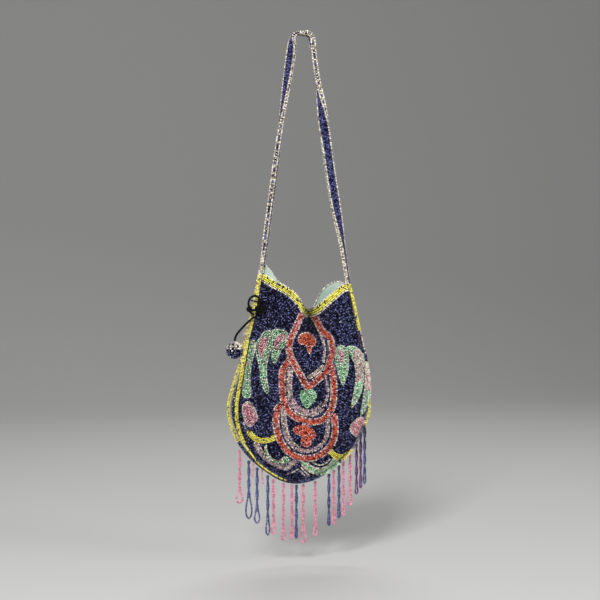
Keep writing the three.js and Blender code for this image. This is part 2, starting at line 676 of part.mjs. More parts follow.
// Ball covered with rings of beads
function beadedBall() {
  const rings = 7;
  const profile = [new THREE.Vector2(0, -ballRadius)];
  const groove = 0.55;
  for (let i = 1; i < 2 * rings; i += 1) {
    const angle = (Math.PI * i) / (2 * rings) - Math.PI / 2;
    const radius = i % 2 ? ballRadius : ballRadius - groove;
    profile.push(new THREE.Vector2(radius * Math.cos(angle), radius * Math.sin(angle)));
  }
  profile.push(new THREE.Vector2(0, ballRadius));
  return new THREE.LatheGeometry(profile, 12);
}
const ball = add("pendant_ball", beadedBall(), navyBeads);
ball.rotation.x = Math.PI / 2;
ball.position.copy(ballSpot);

export default purse;
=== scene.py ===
# %% [markdown]
# # A beaded purse
# This lesson dresses a small old cloth purse that hangs by its strap. Its whole outside is sewn with
# glass seed beads, and the look comes from thousands of them lying in rows. The solids of the purse are
# loaded first as a fixed frame, and each of them is then replaced by the cloth, satin, cord or bead rows
# that it stands for.

# %% Load the frame
import json
import math

import bpy
import numpy as np
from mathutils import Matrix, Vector, kdtree

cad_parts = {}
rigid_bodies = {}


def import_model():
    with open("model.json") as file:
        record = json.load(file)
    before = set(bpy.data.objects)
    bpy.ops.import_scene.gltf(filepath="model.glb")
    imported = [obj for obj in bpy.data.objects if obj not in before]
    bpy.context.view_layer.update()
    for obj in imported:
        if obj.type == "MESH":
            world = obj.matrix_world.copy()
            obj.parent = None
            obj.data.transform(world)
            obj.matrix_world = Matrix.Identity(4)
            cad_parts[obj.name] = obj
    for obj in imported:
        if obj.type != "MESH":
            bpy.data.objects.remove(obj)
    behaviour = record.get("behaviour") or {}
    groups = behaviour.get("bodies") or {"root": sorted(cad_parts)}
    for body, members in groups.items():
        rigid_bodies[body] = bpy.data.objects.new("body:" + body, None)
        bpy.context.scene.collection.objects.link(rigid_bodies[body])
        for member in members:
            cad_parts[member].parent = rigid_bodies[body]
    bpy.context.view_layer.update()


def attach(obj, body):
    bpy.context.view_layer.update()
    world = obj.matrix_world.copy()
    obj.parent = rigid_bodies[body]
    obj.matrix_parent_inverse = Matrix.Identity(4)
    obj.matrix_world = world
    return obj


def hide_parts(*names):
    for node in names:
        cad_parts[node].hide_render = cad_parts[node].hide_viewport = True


for leftover in list(bpy.data.objects):
    bpy.data.objects.remove(leftover)
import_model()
bpy.ops.object.select_all(action="DESELECT")

# %% [markdown]
# ## Camera
# The camera comes first, because every later choice is judged through it. The purse is seen a little
# from its left and a little from above, from far enough away that the strap's top and the fringe keep
# their true widths. The image is square, and the strap's top sits near its upper edge.

# %% Camera
MM = 0.001
SHEET = 600  # the image is this many units wide and high
SHEET_MM = 1.06  # size of one unit at the purse
VIEW_AZIMUTH = -15
VIEW_ELEVATION = 2.5
VIEW_DISTANCE = 1600
VIEW_TARGET = np.array([-2.2, 0, -278.8])
SENSOR = 36

azimuth = math.radians(VIEW_AZIMUTH)
elevation = math.radians(VIEW_ELEVATION)
view_back = np.array([math.sin(azimuth) * math.cos(elevation), -math.cos(azimuth) * math.cos(elevation),
                      math.sin(elevation)])
view_right = np.array([math.cos(azimuth), math.sin(azimuth), 0])
view_up = np.cross(view_back, view_right)

camera = bpy.data.objects.new("camera", bpy.data.cameras.new("camera"))
bpy.context.scene.collection.objects.link(camera)
camera.location = (VIEW_TARGET + view_back * VIEW_DISTANCE) * MM
camera.rotation_euler = Vector(-view_back).to_track_quat("-Z", "Y").to_euler()
camera.data.sensor_width = SENSOR
camera.data.lens = SENSOR / 2 / (SHEET / 2 * SHEET_MM / VIEW_DISTANCE)
bpy.context.scene.camera = camera


def on_sheet(points):
    """Where the camera sees points, in units of the square sheet, from its upper left corner."""
    away = points - VIEW_TARGET
    scale = VIEW_DISTANCE / (VIEW_DISTANCE - away @ view_back) / SHEET_MM
    return SHEET / 2 + (away @ view_right) * scale, SHEET / 2 - (away @ view_up) * scale


print("strap top at", [round(float(v), 1) for v in on_sheet(np.zeros(3))])

# %% [markdown]
# ## Light and floor
# Seed beads show by their highlights, so the light is a few large soft boxes: a key from the upper left,
# a weaker fill from the right and a strip from above and behind that draws the edges. The floor is plain
# and pale, and it turns up into a wall behind the purse in one sweep.

# %% Light and floor
scene = bpy.context.scene
scene.view_settings.view_transform = "Standard"
world = bpy.data.worlds.new("studio")
scene.world = world
world.use_nodes = True
sky = world.node_tree.nodes["Background"]
sky.inputs["Color"].default_value = (0.8, 0.8, 0.82, 1)
sky.inputs["Strength"].default_value = 0.3
LIT_SPOT = Vector((0, 0, -0.3))


def soft_box(name, place, size, power):
    """Area light of a size in metres at a place, turned towards the purse."""
    light = bpy.data.lights.new(name, "AREA")
    light.shape = "RECTANGLE"
    light.size, light.size_y = size
    light.energy = power
    lamp = bpy.data.objects.new(name, light)
    scene.collection.objects.link(lamp)
    lamp.location = place
    lamp.rotation_euler = (LIT_SPOT - lamp.location).to_track_quat("-Z", "Y").to_euler()


def new_paint(name, inputs):
    """New material with values set on its shader, and the shader."""
    paint = bpy.data.materials.new(name)
    paint.use_nodes = True
    shader = paint.node_tree.nodes["Principled BSDF"]
    for label, value in inputs.items():
        shader.inputs[label].default_value = value
    return paint, shader


soft_box("key", (-0.8, -1.4, 0.7), size=(0.5, 0.6), power=40)
soft_box("fill", (1.2, -1.0, 0.0), size=(0.6, 0.9), power=10)
soft_box("strip", (0.3, 0.9, 0.9), size=(1.0, 0.3), power=9)
FLOOR_LEVEL = -0.56
FLOOR_BACK, FLOOR_SIZE, WALL_HEIGHT, SWEEP_RADIUS = 3.0, 12.0, 6, 1.6
NEAR = 0.1  # points within this of the floor's level or back count as on it
bpy.ops.mesh.primitive_plane_add(size=FLOOR_SIZE, location=(0, FLOOR_BACK - FLOOR_SIZE / 2, FLOOR_LEVEL))
floor = bpy.context.active_object
floor.name = "floor"
bpy.ops.object.transform_apply(location=True, rotation=True, scale=True)
for edge in floor.data.edges:
    edge.select = all(floor.data.vertices[k].co.y > FLOOR_BACK - NEAR for k in edge.vertices)
for corner in floor.data.vertices:
    corner.select = corner.co.y > FLOOR_BACK - NEAR
for face in floor.data.polygons:
    face.select = False
bpy.ops.object.mode_set(mode="EDIT")
bpy.ops.mesh.select_mode(type="EDGE")
bpy.ops.mesh.extrude_region_move(TRANSFORM_OT_translate={"value": (0, 0, WALL_HEIGHT)})
bpy.ops.mesh.select_all(action="DESELECT")
bpy.ops.object.mode_set(mode="OBJECT")
for edge in floor.data.edges:
    places = [floor.data.vertices[k].co for k in edge.vertices]
    edge.select = all(place.y > FLOOR_BACK - NEAR and place.z < FLOOR_LEVEL + NEAR for place in places)
bpy.ops.object.mode_set(mode="EDIT")
bpy.ops.mesh.bevel(offset=SWEEP_RADIUS, segments=16, affect="EDGES")
bpy.ops.object.mode_set(mode="OBJECT")
bpy.ops.object.shade_smooth()
floor_paint, _ = new_paint("floor_paint", {"Base Color": (0.5, 0.5, 0.49, 1), "Roughness": 0.9})
floor.data.materials.append(floor_paint)

# %% [markdown]
# ## Lines
# Rows of beads, seams and strings all follow smooth lines. The main helpers draw a smooth line through a
# few points, and step along a line at an even spacing, as a needle does.

# %% Smooth lines and even steps
def smooth_line(points, per_span=24):
    """Smooth line through points, with steps set by the distance between them."""
    p = np.asarray(points, float)
    p = np.vstack([2 * p[0] - p[1], p, 2 * p[-1] - p[-2]])
    spans = []
    for i in range(1, len(p) - 2):
        p0, p1, p2, p3 = p[i - 1:i + 3]
        d0, d1, d2 = (np.linalg.norm(b - a) ** 0.5 for a, b in ((p0, p1), (p1, p2), (p2, p3)))
        m1 = ((p1 - p0) / d0 - (p2 - p0) / (d0 + d1) + (p2 - p1) / d1) * d1
        m2 = ((p2 - p1) / d1 - (p3 - p1) / (d1 + d2) + (p3 - p2) / d2) * d1
        t = np.linspace(0, 1, per_span, endpoint=False)[:, None]
        spans.append(p1 + m1 * t + (3 * (p2 - p1) - 2 * m1 - m2) * t**2 + (2 * (p1 - p2) + m1 + m2) * t**3)
    return np.vstack(spans + [p[-2:-1]])


def smooth_ring(points, per_span=12):
    """Smooth closed line through points."""
    p = np.asarray(points, float)
    lap = smooth_line(np.vstack([p[-2:], p, p[:3]]), per_span)
    return lap[2 * per_span:(2 + len(p)) * per_span]


def steps_along(line, spacing=None, count=None):
    """Points at an even spacing along a line."""
    line = np.asarray(line, float)
    run = np.concatenate([[0], np.cumsum(np.linalg.norm(np.diff(line, axis=0), axis=1))])
    n = count or max(int(round(run[-1] / spacing)), 1)
    at = np.linspace(0, run[-1], n + 1)
    return np.stack([np.interp(at, run, line[:, k]) for k in range(line.shape[1])], axis=1)


def through(knots):
    """Function that runs smoothly through a few knots of place and value."""
    x, y = np.array(knots, float).T
    before, after = np.maximum(np.arange(len(x)) - 1, 0), np.minimum(np.arange(len(x)) + 1, len(x) - 1)
    slope = (y[after] - y[before]) / (x[after] - x[before])

    def value(place):
        i = np.clip(np.searchsorted(x, place, "right") - 1, 0, len(x) - 2)
        width = x[i + 1] - x[i]
        t = np.clip((place - x[i]) / width, 0, 1)
        rise, s0, s1 = y[i + 1] - y[i], slope[i] * width, slope[i + 1] * width
        return y[i] + t * s0 + t**2 * (3 * rise - 2 * s0 - s1) + t**3 * (s0 + s1 - 2 * rise)

    return value


def smoothstep(x, low, high):
    """Soft step from 0 at the low value to 1 at the high one."""
    t = np.clip((x - low) / (high - low), 0, 1)
    return t * t * (3 - 2 * t)


def unit(vectors):
    """Vectors of length one."""
    return vectors / np.maximum(np.linalg.norm(vectors, axis=-1, keepdims=True), 1e-9)


def directions(line):
    """Direction along a line at each of its points."""
    return unit(np.gradient(line, axis=0)) if len(line) > 1 else np.array([[1.0, 0, 0]])


print("line helpers ready, a test line has", len(smooth_line([(0, 0), (1, 0), (1, 1)])), "points")

# %% [markdown]
# ## Shape of the bag
# The bag is two soft panels sewn together along their sides and bottom. Each panel swells out of the
# seam like a pillow, and the front is pinched in under the dip of its mouth. Cloth and beads have to lie
# on the very same surface, so it is written once as a height over the X-Z plane, with the same sizes as
# the solids, in millimetres.

# %% Sizes of the bag
HALF_WIDTH = 73.5
BAG_HEIGHT = 218
STRAP_DROP = 251
FRONT_OUTLINE = [
    (-0.59, 0), (-0.7, 0.2), (-0.79, 0.32), (-0.88, 0.48), (-0.96, 0.65), (-0.895, 0.773), (-0.745, 0.853),
    (-0.61, 0.91), (-0.26, 0.986), (0, 1), (0.285, 0.972), (0.55, 0.91), (0.7, 0.86), (0.87, 0.75),
    (0.96, 0.63), (0.985, 0.54), (0.94, 0.44), (0.85, 0.33), (0.717, 0.122), (0.664, 0.053)]
BACK_OUTLINE = [
    (-0.555, -0.045), (-0.7, 0.2), (-0.76, 0.32), (-0.907, 0.49), (-1.03, 0.655), (-0.935, 0.78),
    (-0.765, 0.868), (-0.61, 0.918), (-0.26, 0.995), (0, 1.008), (0.285, 0.98), (0.55, 0.918), (0.7, 0.87),
    (0.87, 0.76), (0.97, 0.63), (0.99, 0.54), (0.94, 0.44), (0.85, 0.33), (0.717, 0.122), (0.664, 0.053)]
FRONT_DIP = [(0, 0), (0.12, 0.19), (0.26, 0.35), (0.36, 0.53), (0.45, 0.8), (0.53, 1), (0.6, 0.89),
             (0.66, 0.71), (0.79, 0.385), (0.93, 0.07), (1, 0)]
BACK_DIP = [(0, 0), (0.09, 0.15), (0.155, 0.3), (0.28, 0.52), (0.42, 0.9), (0.5, 1), (0.59, 0.93),
            (0.655, 0.7), (0.715, 0.42), (0.78, 0.215), (0.855, 0.07), (0.92, 0), (1, 0)]
PILLOW_REACH = 46
EDGE_START = 0.4
LEFT_CORNER, RIGHT_CORNER = FRONT_OUTLINE[0][0], FRONT_OUTLINE[-1][0]
PINCH_SHARE = 0.54  # place of the pinch between the corners
PINCH_X = (LEFT_CORNER + PINCH_SHARE * (RIGHT_CORNER - LEFT_CORNER)) * HALF_WIDTH
PINCH_REACH = 8
GAP_AT_ENDS, GAP_AT_BELLY = 2.8, 8
BULGE_AT_TOP, BULGE_AT_BELLY = 11, 17
RIGHT_TUCK, TUCK_HEIGHT, TUCK_REACH = 7, 0.51, 0.15


def roundness(distance):
    """Rise of the pillow from 0 at the seam to 1 at its reach, along a quarter circle."""
    return np.sqrt(1 - (1 - np.clip(distance / PILLOW_REACH, 0, 1)) ** 2)


def seam_gap(z):
    """Half the space between the two panels at a height."""
    share = np.clip((-STRAP_DROP - z) / BAG_HEIGHT, 0, 1)
    return GAP_AT_ENDS + (GAP_AT_BELLY - GAP_AT_ENDS) * np.sin(np.pi * share**1.4) ** 1.5


def seam_plane(x, z):
    """Depth of the plane of the seam, which is moved to the back on the right of the belly."""
    share = (-STRAP_DROP - z) / BAG_HEIGHT
    near = np.exp(-(((share - TUCK_HEIGHT) / TUCK_REACH) ** 2))
    return RIGHT_TUCK * smoothstep(x / HALF_WIDTH, 0.3, 0.95) * near


print("pinch at x =", round(PINCH_X, 1), "mm")

# %% One side of the bag
class Side:
    """Front or back of the bag: its seam line, the line of its mouth and its pillowed surface."""

    def __init__(self, facing, outline, dip, dip_depth, bulge_share, pinch):
        self.facing, self.dip, self.dip_depth = facing, through(dip), dip_depth
        self.bulge_share, self.pinch = bulge_share, pinch
        seam = [(a * HALF_WIDTH, -STRAP_DROP - h * BAG_HEIGHT) for a, h in outline]
        self.seam = steps_along(smooth_line(seam), count=320)
        self.run = np.concatenate([[0], np.cumsum(np.linalg.norm(np.diff(self.seam, axis=0), axis=1))])

    def seam_distance(self, x, z, block=3000):
        """Distance in from the seam, negative outside it."""
        start, step = self.seam[:-1], np.diff(self.seam, axis=0)
        found = np.empty(len(x))
        for first in range(0, len(x), block):
            px = x[first:first + block, None] - start[:, 0]
            pz = z[first:first + block, None] - start[:, 1]
            t = np.clip((px * step[:, 0] + pz * step[:, 1]) / (step**2).sum(1), 0, 1)
            gap = np.hypot(px - t * step[:, 0], pz - t * step[:, 1])
            near = gap.argmin(1)
            row = np.arange(len(near))
            inside = np.sign(step[near, 0] * pz[row, near] - step[near, 1] * px[row, near])
            found[first:first + block] = inside * gap[row, near]
        return found

    def height(self, x, z):
        """Depth of the surface over (x, z), along the Y axis."""
        share = (-STRAP_DROP - z) / BAG_HEIGHT
        start = roundness(EDGE_START)
        swell = (roundness(self.seam_distance(x, z) + EDGE_START) - start) / (1 - start)
        bulge = BULGE_AT_TOP + (BULGE_AT_BELLY - BULGE_AT_TOP) * smoothstep(share, 0.05, 0.55)
        bulge = bulge * self.bulge_share
        near_pinch = np.exp(-(((x - PINCH_X) / PINCH_REACH) ** 2))
        valley = self.pinch * (1 - smoothstep(share, 0.17, 0.33)) * near_pinch
        return seam_plane(x, z) + self.facing * (seam_gap(z) + bulge * swell - valley)

    def place(self, x, z, out=0.0):
        """Points over (x, z), moved out of the surface, and the directions out of it."""
        step = 0.05
        x, z = np.atleast_1d(np.asarray(x, float)), np.atleast_1d(np.asarray(z, float))
        slope_x = (self.height(x + step, z) - self.height(x - step, z)) / (2 * step)
        slope_z = (self.height(x, z + step) - self.height(x, z - step)) / (2 * step)
        normal = unit(np.stack([-slope_x, np.ones_like(x), -slope_z], axis=1) * self.facing)
        return np.stack([x, self.height(x, z), z], axis=1) + normal * np.reshape(out, (-1, 1)), normal

    def at_run(self, distance):
        """Places (x, z) on the seam at distances along it."""
        return np.stack([np.interp(distance, self.run, self.seam[:, k]) for k in (0, 1)], axis=-1)

    def mouth_line(self, u):
        """Line of the mouth from corner to corner."""
        u = np.asarray(u, float)[..., None]
        line = self.at_run(0) * (1 - u) + self.at_run(self.run[-1]) * u
        line[..., 1] -= self.dip_depth * self.dip(u[..., 0])
        return line

    def rim(self, share, outwards, depth=0.0):
        """Points beside the seam line at shares of its length, and the directions away from the bag."""
        distance = np.asarray(share, float) * self.run[-1]
        spot = self.at_run(distance)
        ahead, behind = np.minimum(distance + 0.5, self.run[-1]), np.maximum(distance - 0.5, 0)
        along = unit(self.at_run(ahead) - self.at_run(behind))
        away = np.stack([along[..., 1], -along[..., 0]], axis=-1)
        y = seam_plane(spot[..., 0], spot[..., 1]) + self.facing * (seam_gap(spot[..., 1]) + depth)
        flat = spot + away * np.reshape(outwards, (-1, 1))
        outward = np.stack([away[..., 0], 0 * y, away[..., 1]], axis=-1)
        return np.stack([flat[..., 0], y, flat[..., 1]], axis=-1), outward


front = Side(-1, FRONT_OUTLINE, FRONT_DIP, dip_depth=32.5, bulge_share=1.0, pinch=13)
back = Side(1, BACK_OUTLINE, BACK_DIP, dip_depth=40, bulge_share=0.9, pinch=7)
print("seam lengths in mm:", round(front.run[-1]), round(back.run[-1]))

# %% [markdown]
# ## Finishes
# Seed beads are short pieces of drawn glass: smooth, bright, and never quite the same colour from one to
# the next. Each bead carries a random tone, and one node group turns that tone into a colour and a gloss
# for every bead material. Dust is a soft cloud over all the beads, and painted shade darkens the beads of
# the pinched fold.

# %% Bead glass group
def srgb(code):
    """Linear colour from a six-digit hex code."""
    values = [int(code[i:i + 2], 16) / 255 for i in (0, 2, 4)]
    return tuple(v / 12.92 if v <= 0.04045 else ((v + 0.055) / 1.055) ** 2.4 for v in values) + (1,)


def new_group(name, inputs, outputs):
    """New node group with its input and output nodes."""
    group = bpy.data.node_groups.new(name, "ShaderNodeTree")
    for label, kind in inputs:
        group.interface.new_socket(label, in_out="INPUT", socket_type=kind)
    for label, kind in outputs:
        group.interface.new_socket(label, in_out="OUTPUT", socket_type=kind)
    return group, group.nodes.new("NodeGroupInput"), group.nodes.new("NodeGroupOutput")


def add_node(tree, kind, inputs, **settings):
    """New node of a kind with its settings. Inputs are values, or sockets to link from."""
    node = tree.nodes.new(kind)
    for label, value in settings.items():
        setattr(node, label, value)
    for label, value in inputs.items():
        if isinstance(value, bpy.types.NodeSocket):
            tree.links.new(value, node.inputs[label])
        else:
            node.inputs[label].default_value = value
    return node


def mix_colours(tree, factor, a, b):
    """Colour between a and b. The mix node's inputs 0, 6 and 7 are the factor and the two colours."""
    return add_node(tree, "ShaderNodeMix", {0: factor, 6: a, 7: b}, data_type="RGBA").outputs[2]


COLOUR, VALUE = "NodeSocketColor", "NodeSocketFloat"
# The second colour is painted shade: the beads of the pinched fold are mixed towards it by the group's
# second input.
DUST_COLOUR, PAINTED_SHADE_COLOUR = (0.22, 0.2, 0.17, 1), (0.008, 0.007, 0.006, 1)
bead_glass, glass_in, glass_out = new_group(
    "bead_glass", [("Tone", VALUE), ("Grime", VALUE), ("Deep", COLOUR), ("Pale", COLOUR), ("Dust", VALUE)],
    [("Colour", COLOUR), ("Roughness", VALUE)])
given = glass_in.outputs
place = add_node(bead_glass, "ShaderNodeTexCoord", {})
cloud = add_node(bead_glass, "ShaderNodeTexNoise",
                 {"Vector": place.outputs["Object"], "Scale": 45, "Detail": 3})
cloud_range = add_node(bead_glass, "ShaderNodeMapRange",
                       {"Value": cloud.outputs["Fac"], "From Min": 0.45, "From Max": 0.75})
dust = add_node(bead_glass, "ShaderNodeMath", {0: cloud_range.outputs["Result"], 1: given["Dust"]},
                operation="MULTIPLY")
gloss = add_node(bead_glass, "ShaderNodeMapRange", {"Value": given["Tone"], "To Min": 0.16, "To Max": 0.34})
toned = mix_colours(bead_glass, given["Tone"], given["Deep"], given["Pale"])
dusty = mix_colours(bead_glass, dust.outputs[0], toned, DUST_COLOUR)
# Painted shade: beads in the pinched fold are darkened towards near black.
with_painted_shade = mix_colours(bead_glass, given["Grime"], dusty, PAINTED_SHADE_COLOUR)
bead_glass.links.new(with_painted_shade, glass_out.inputs["Colour"])
bead_glass.links.new(gloss.outputs["Result"], glass_out.inputs["Roughness"])
print("group:", bead_glass.name)

# %% Bead colours
def bead_paint(name, deep, pale, dust, shine):
    """Material of glass beads whose tone runs from a deep to a pale colour."""
    paint, shader = new_paint(name, {"IOR": 1.52, "Specular IOR Level": shine})
    tree = paint.node_tree
    inputs = {"Deep": srgb(deep), "Pale": srgb(pale), "Dust": dust}
    # The second attribute is painted shade in the pinched fold.
    for label in ("Tone", "Grime"):
        layer = add_node(tree, "ShaderNodeAttribute", {}, attribute_name=label.lower())
        inputs[label] = layer.outputs["Fac"]
    group = add_node(tree, "ShaderNodeGroup", inputs, node_tree=bead_glass)
    tree.links.new(group.outputs["Colour"], shader.inputs["Base Color"])
    tree.links.new(group.outputs["Roughness"], shader.inputs["Roughness"])
    return paint


# Each colour has a material, a deep and a pale colour, dust, shine, the spread of its tones and a slot.
EVEN = (0.9, 0.8)
BEADS = {
    # The navy beads have little shine, and their paler beads are partly the beads' own random tone and
    # partly painted glints.
    "navy": ("navy_beads", "0a0a1c", "787cb0", 0.03, 0.05, (0.5, 1.5), "navy_beads"),
    "yellow": ("yellow_beads", "b29610", "fffa70", 0.03, 0.2, (1.1, 0.7), "yellow_beads"),
    "cream": ("cream_beads", "857660", "fff9e6", 0.08, 0.2, EVEN, "cream_beads"),
    "red": ("red_beads", "66170f", "f4745c", 0.06, 0.2, EVEN, "red_beads"),
    "coral": ("coral_beads", "a8301c", "ff8a62", 0.04, 0.2, (1.1, 0.8), "red_beads"),
    "green": ("green_beads", "4c8258", "bcf4c0", 0.05, 0.2, EVEN, "green_beads"),
    "mint": ("pale_green_beads", "6c9478", "e6f8e4", 0.06, 0.2, EVEN, "green_beads"),
    "rose": ("rose_beads", "b2566e", "ffb2c0", 0.05, 0.2, EVEN, "pink_beads"),
    "pink": ("pink_beads", "c07c88", "ffd8dc", 0.05, 0.2, EVEN, "pink_beads"),
    "lilac": ("lilac_beads", "5a4852", "d0b4c0", 0.1, 0.2, (1.4, 1.2), "lilac_beads"),
    "string_pink": ("pink_string_beads", "ae5c7c", "f2a6ba", 0.06, 0.2, (3, 2.6), "fringe_pink"),
    "string_navy": ("navy_string_beads", "22244a", "6c70a4", 0.04, 0.1, (2.6, 3), "fringe_navy"),
    "string_purple": ("purple_string_beads", "40244e", "8a5a90", 0.04, 0.1, (2.6, 3), "fringe_navy"),
    "strap_navy": ("strap_navy_beads", "161840", "7c80bc", 0.03, 0.08, (0.55, 1.2), "navy_beads"),
}
BEAD_PAINTS = {colour: bead_paint(*facts) for colour, (*facts, _, _) in BEADS.items()}
print("bead colours:", len(BEAD_PAINTS))

# %% [markdown]
# ## One bead
# A seed bead is a short barrel with a hole. It is modelled once, from a six-sided ball of three bands:
# the ball is widened and stretched into a barrel, and its two ends are pressed in where the hole is. It
# is then copied along the rows, and with 24 triangles it stays light enough to be copied many thousand
# times.

# %% Model a bead
BARREL = (1.16, 1.16, 1.4)
END_HEIGHT, END_PRESS = 0.6, 0.48
bpy.ops.object.select_all(action="DESELECT")
bpy.ops.mesh.primitive_uv_sphere_add(segments=6, ring_count=3, radius=0.5)
bead = bpy.context.active_object
bpy.ops.object.mode_set(mode="EDIT")
bpy.ops.mesh.select_all(action="SELECT")
bpy.ops.transform.resize(value=BARREL)
bpy.ops.mesh.select_all(action="DESELECT")
bpy.ops.object.mode_set(mode="OBJECT")
for corner in bead.data.vertices:
    corner.select = abs(corner.co.z) > END_HEIGHT
bpy.ops.object.mode_set(mode="EDIT")
bpy.ops.transform.resize(value=(1, 1, END_PRESS))
bpy.ops.mesh.select_all(action="SELECT")
bpy.ops.mesh.quads_convert_to_tris()
bpy.ops.object.mode_set(mode="OBJECT")
bead_points = np.array([corner.co for corner in bead.data.vertices])
bead_faces = np.array([face.vertices for face in bead.data.polygons])
bead_uv = np.array([spot.uv for spot in bead.data.uv_layers.active.data])
bpy.data.objects.remove(bead)
print("one bead:", len(bead_points), "points,", len(bead_faces), "faces")

# %% [markdown]
# ## Rows of beads
# A row is a line of places with a direction along the thread and a direction out of the cloth. Rows are
# collected by piece and colour, and each heap is then made into one mesh. Every bead is turned and sized
# a little at random, as sewn beads are. Each bead also gets its own small square of a UV map, so a
# picture of its colour can be kept.

# %% Collect rows
rng = np.random.default_rng(11)
heaps = {}
# Painted shade darkens the beads in the pinched fold of the front: its reach across, its strength and its
# heights.
FOLD_REACH, FOLD_PAINTED_SHADE = 8, 0.85
FOLD_BOTTOM, FOLD_FULL, FOLD_TOP = -334, -300, -280  # heights where the painted shade fades out, is full and stops
SIZE_RANGE, TILT = (0.9, 1.08), 0.1
UV_MARGIN = 0.1  # of a bead's square, on each side


def sew(piece, colour, centres, along, out, width=1.5, length=1.24, streak=None):
    """Adds beads to the heap of a piece and colour: middles, thread directions and directions out, in mm.
    A streak from -1 to 1 makes a bead darker or brighter than the rest of its colour."""
    centres = np.atleast_2d(centres)
    if len(centres) == 0:
        return
    along, out = np.broadcast_to(along, centres.shape), np.broadcast_to(out, centres.shape)
    size = np.tile([float(width), float(width), float(length)], (len(centres), 1))
    streak = np.zeros(len(centres)) if streak is None else streak
    heaps.setdefault((piece, colour), []).append((centres, along, out, size, streak[:, None]))


def fold_shade(points):
    """Painted shade in the pinched fold of the front, from 0 to 1."""
    near = np.exp(-(((points[:, 0] - PINCH_X) / FOLD_REACH) ** 2)) * smoothstep(
        points[:, 2], FOLD_BOTTOM, FOLD_FULL)
    return np.where((points[:, 1] < 0) & (points[:, 2] < FOLD_TOP), FOLD_PAINTED_SHADE * near, 0)


def make_heap(piece, colour, body, replaced):
    """One mesh from all the beads of a piece and colour. It rides on a body in place of some solids."""
    parts = heaps.pop((piece, colour))
    centres, along, out, size, streak = (np.vstack([part[k] for part in parts]) for k in range(5))
    n = len(centres)
    size = size * rng.uniform(*SIZE_RANGE, (n, 1))
    axis_z = unit(along + rng.normal(0, TILT, (n, 3)))
    axis_x = unit(out - (out * axis_z).sum(1)[:, None] * axis_z)
    axis_y = np.cross(axis_z, axis_x)
    spin = rng.uniform(0, 2 * np.pi, (n, 1))
    side_x = axis_x * np.cos(spin) + axis_y * np.sin(spin)
    side_y = np.cross(axis_z, side_x)
    local = bead_points[None] * size[:, None]
    points = (centres[:, None] + local[..., :1] * side_x[:, None] + local[..., 1:2] * side_y[:, None]
              + local[..., 2:] * axis_z[:, None]) * MM
    faces = bead_faces[None] + (np.arange(n) * len(bead_points))[:, None, None]
    mesh = bpy.data.meshes.new(piece + "_" + colour + "_beads")
    mesh.vertices.add(n * len(bead_points))
    mesh.vertices.foreach_set("co", points.astype(np.float32).ravel())
    mesh.loops.add(faces.size)
    mesh.loops.foreach_set("vertex_index", faces.astype(np.int32).ravel())
    mesh.polygons.add(n * len(bead_faces))
    mesh.polygons.foreach_set("loop_start", np.arange(0, faces.size, 3, dtype=np.int32))
    mesh.polygons.foreach_set("use_smooth", np.ones(n * len(bead_faces), bool))
    mesh.update(calc_edges=True)
    *_, spread, slot = BEADS[colour]
    tones = np.clip(rng.beta(*spread, n) * (1 + streak[:, 0]), 0, 1)
    # The second attribute is painted shade in the pinched fold.
    for label, values in (("tone", tones), ("grime", fold_shade(centres))):
        layer = mesh.attributes.new(label, "FLOAT", "POINT")
        layer.data.foreach_set("value", np.repeat(values, len(bead_points)).astype(np.float32))
    cells = math.ceil(math.sqrt(n))
    corner = np.stack([np.arange(n) % cells, np.arange(n) // cells], 1) / cells
    spots = corner[:, None] + (UV_MARGIN + (1 - 2 * UV_MARGIN) * bead_uv[None]) / cells
    uv = mesh.uv_layers.new(name="OFBake")
    uv.data.foreach_set("uv", spots.astype(np.float32).ravel())
    mesh.materials.append(BEAD_PAINTS[colour])
    made_piece = bpy.data.objects.new(mesh.name, mesh)
    scene.collection.objects.link(made_piece)
    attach(made_piece, body)
    if replaced:
        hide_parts(*replaced)
    return made_piece


print("ready to sew")

# %% [markdown]
# ## Cloth, satin and cord finishes
# The ground under the beads is a dark plain weave, the lining is a pale aqua satin, and the fastening
# cord is black. One weave group gives them all their threads: two fine waves across each other, with a
# cloud of wear.

# %% Weave group
weave, weave_in, weave_out = new_group(
    "weave", [("Deep", COLOUR), ("Pale", COLOUR), ("Threads", VALUE)],
    [("Colour", COLOUR), ("Height", VALUE)])
place = add_node(weave, "ShaderNodeTexCoord", {}).outputs["Object"]
waves = [add_node(weave, "ShaderNodeTexWave", {
    "Vector": place, "Scale": weave_in.outputs["Threads"], "Distortion": 1.5, "Detail": 1},
    bands_direction=direction) for direction in ("X", "Z")]
threads = add_node(weave, "ShaderNodeMath", {0: waves[0].outputs["Fac"], 1: waves[1].outputs["Fac"]},
                   operation="MULTIPLY").outputs[0]
wear = add_node(weave, "ShaderNodeTexNoise", {"Vector": place, "Scale": 60})
worn = add_node(weave, "ShaderNodeMath", {0: threads, 1: wear.outputs["Fac"]}, operation="ADD")
share = add_node(weave, "ShaderNodeMapRange", {"Value": worn.outputs[0], "From Min": 0.35, "From Max": 1.3})
woven = mix_colours(weave, share.outputs["Result"], weave_in.outputs["Deep"], weave_in.outputs["Pale"])
weave.links.new(woven, weave_out.inputs["Colour"])
weave.links.new(threads, weave_out.inputs["Height"])
print("group:", weave.name)

# %% Cloth materials
THREAD_HEIGHT = 0.0002


def cloth_paint(name, deep, pale, thread_scale, roughness, sheen, relief, shine=0.1):
    """Material of a woven piece between two colours."""
    paint, shader = new_paint(
        name, {"Roughness": roughness, "Sheen Weight": sheen, "Specular IOR Level": shine})
    tree = paint.node_tree
    inputs = {"Deep": srgb(deep), "Pale": srgb(pale), "Threads": thread_scale}
    group = add_node(tree, "ShaderNodeGroup", inputs, node_tree=weave)
    bump = add_node(tree, "ShaderNodeBump",
                    {"Strength": relief, "Distance": THREAD_HEIGHT, "Height": group.outputs["Height"]})
    tree.links.new(bump.outputs["Normal"], shader.inputs["Normal"])
    tree.links.new(group.outputs["Colour"], shader.inputs["Base Color"])
    return paint


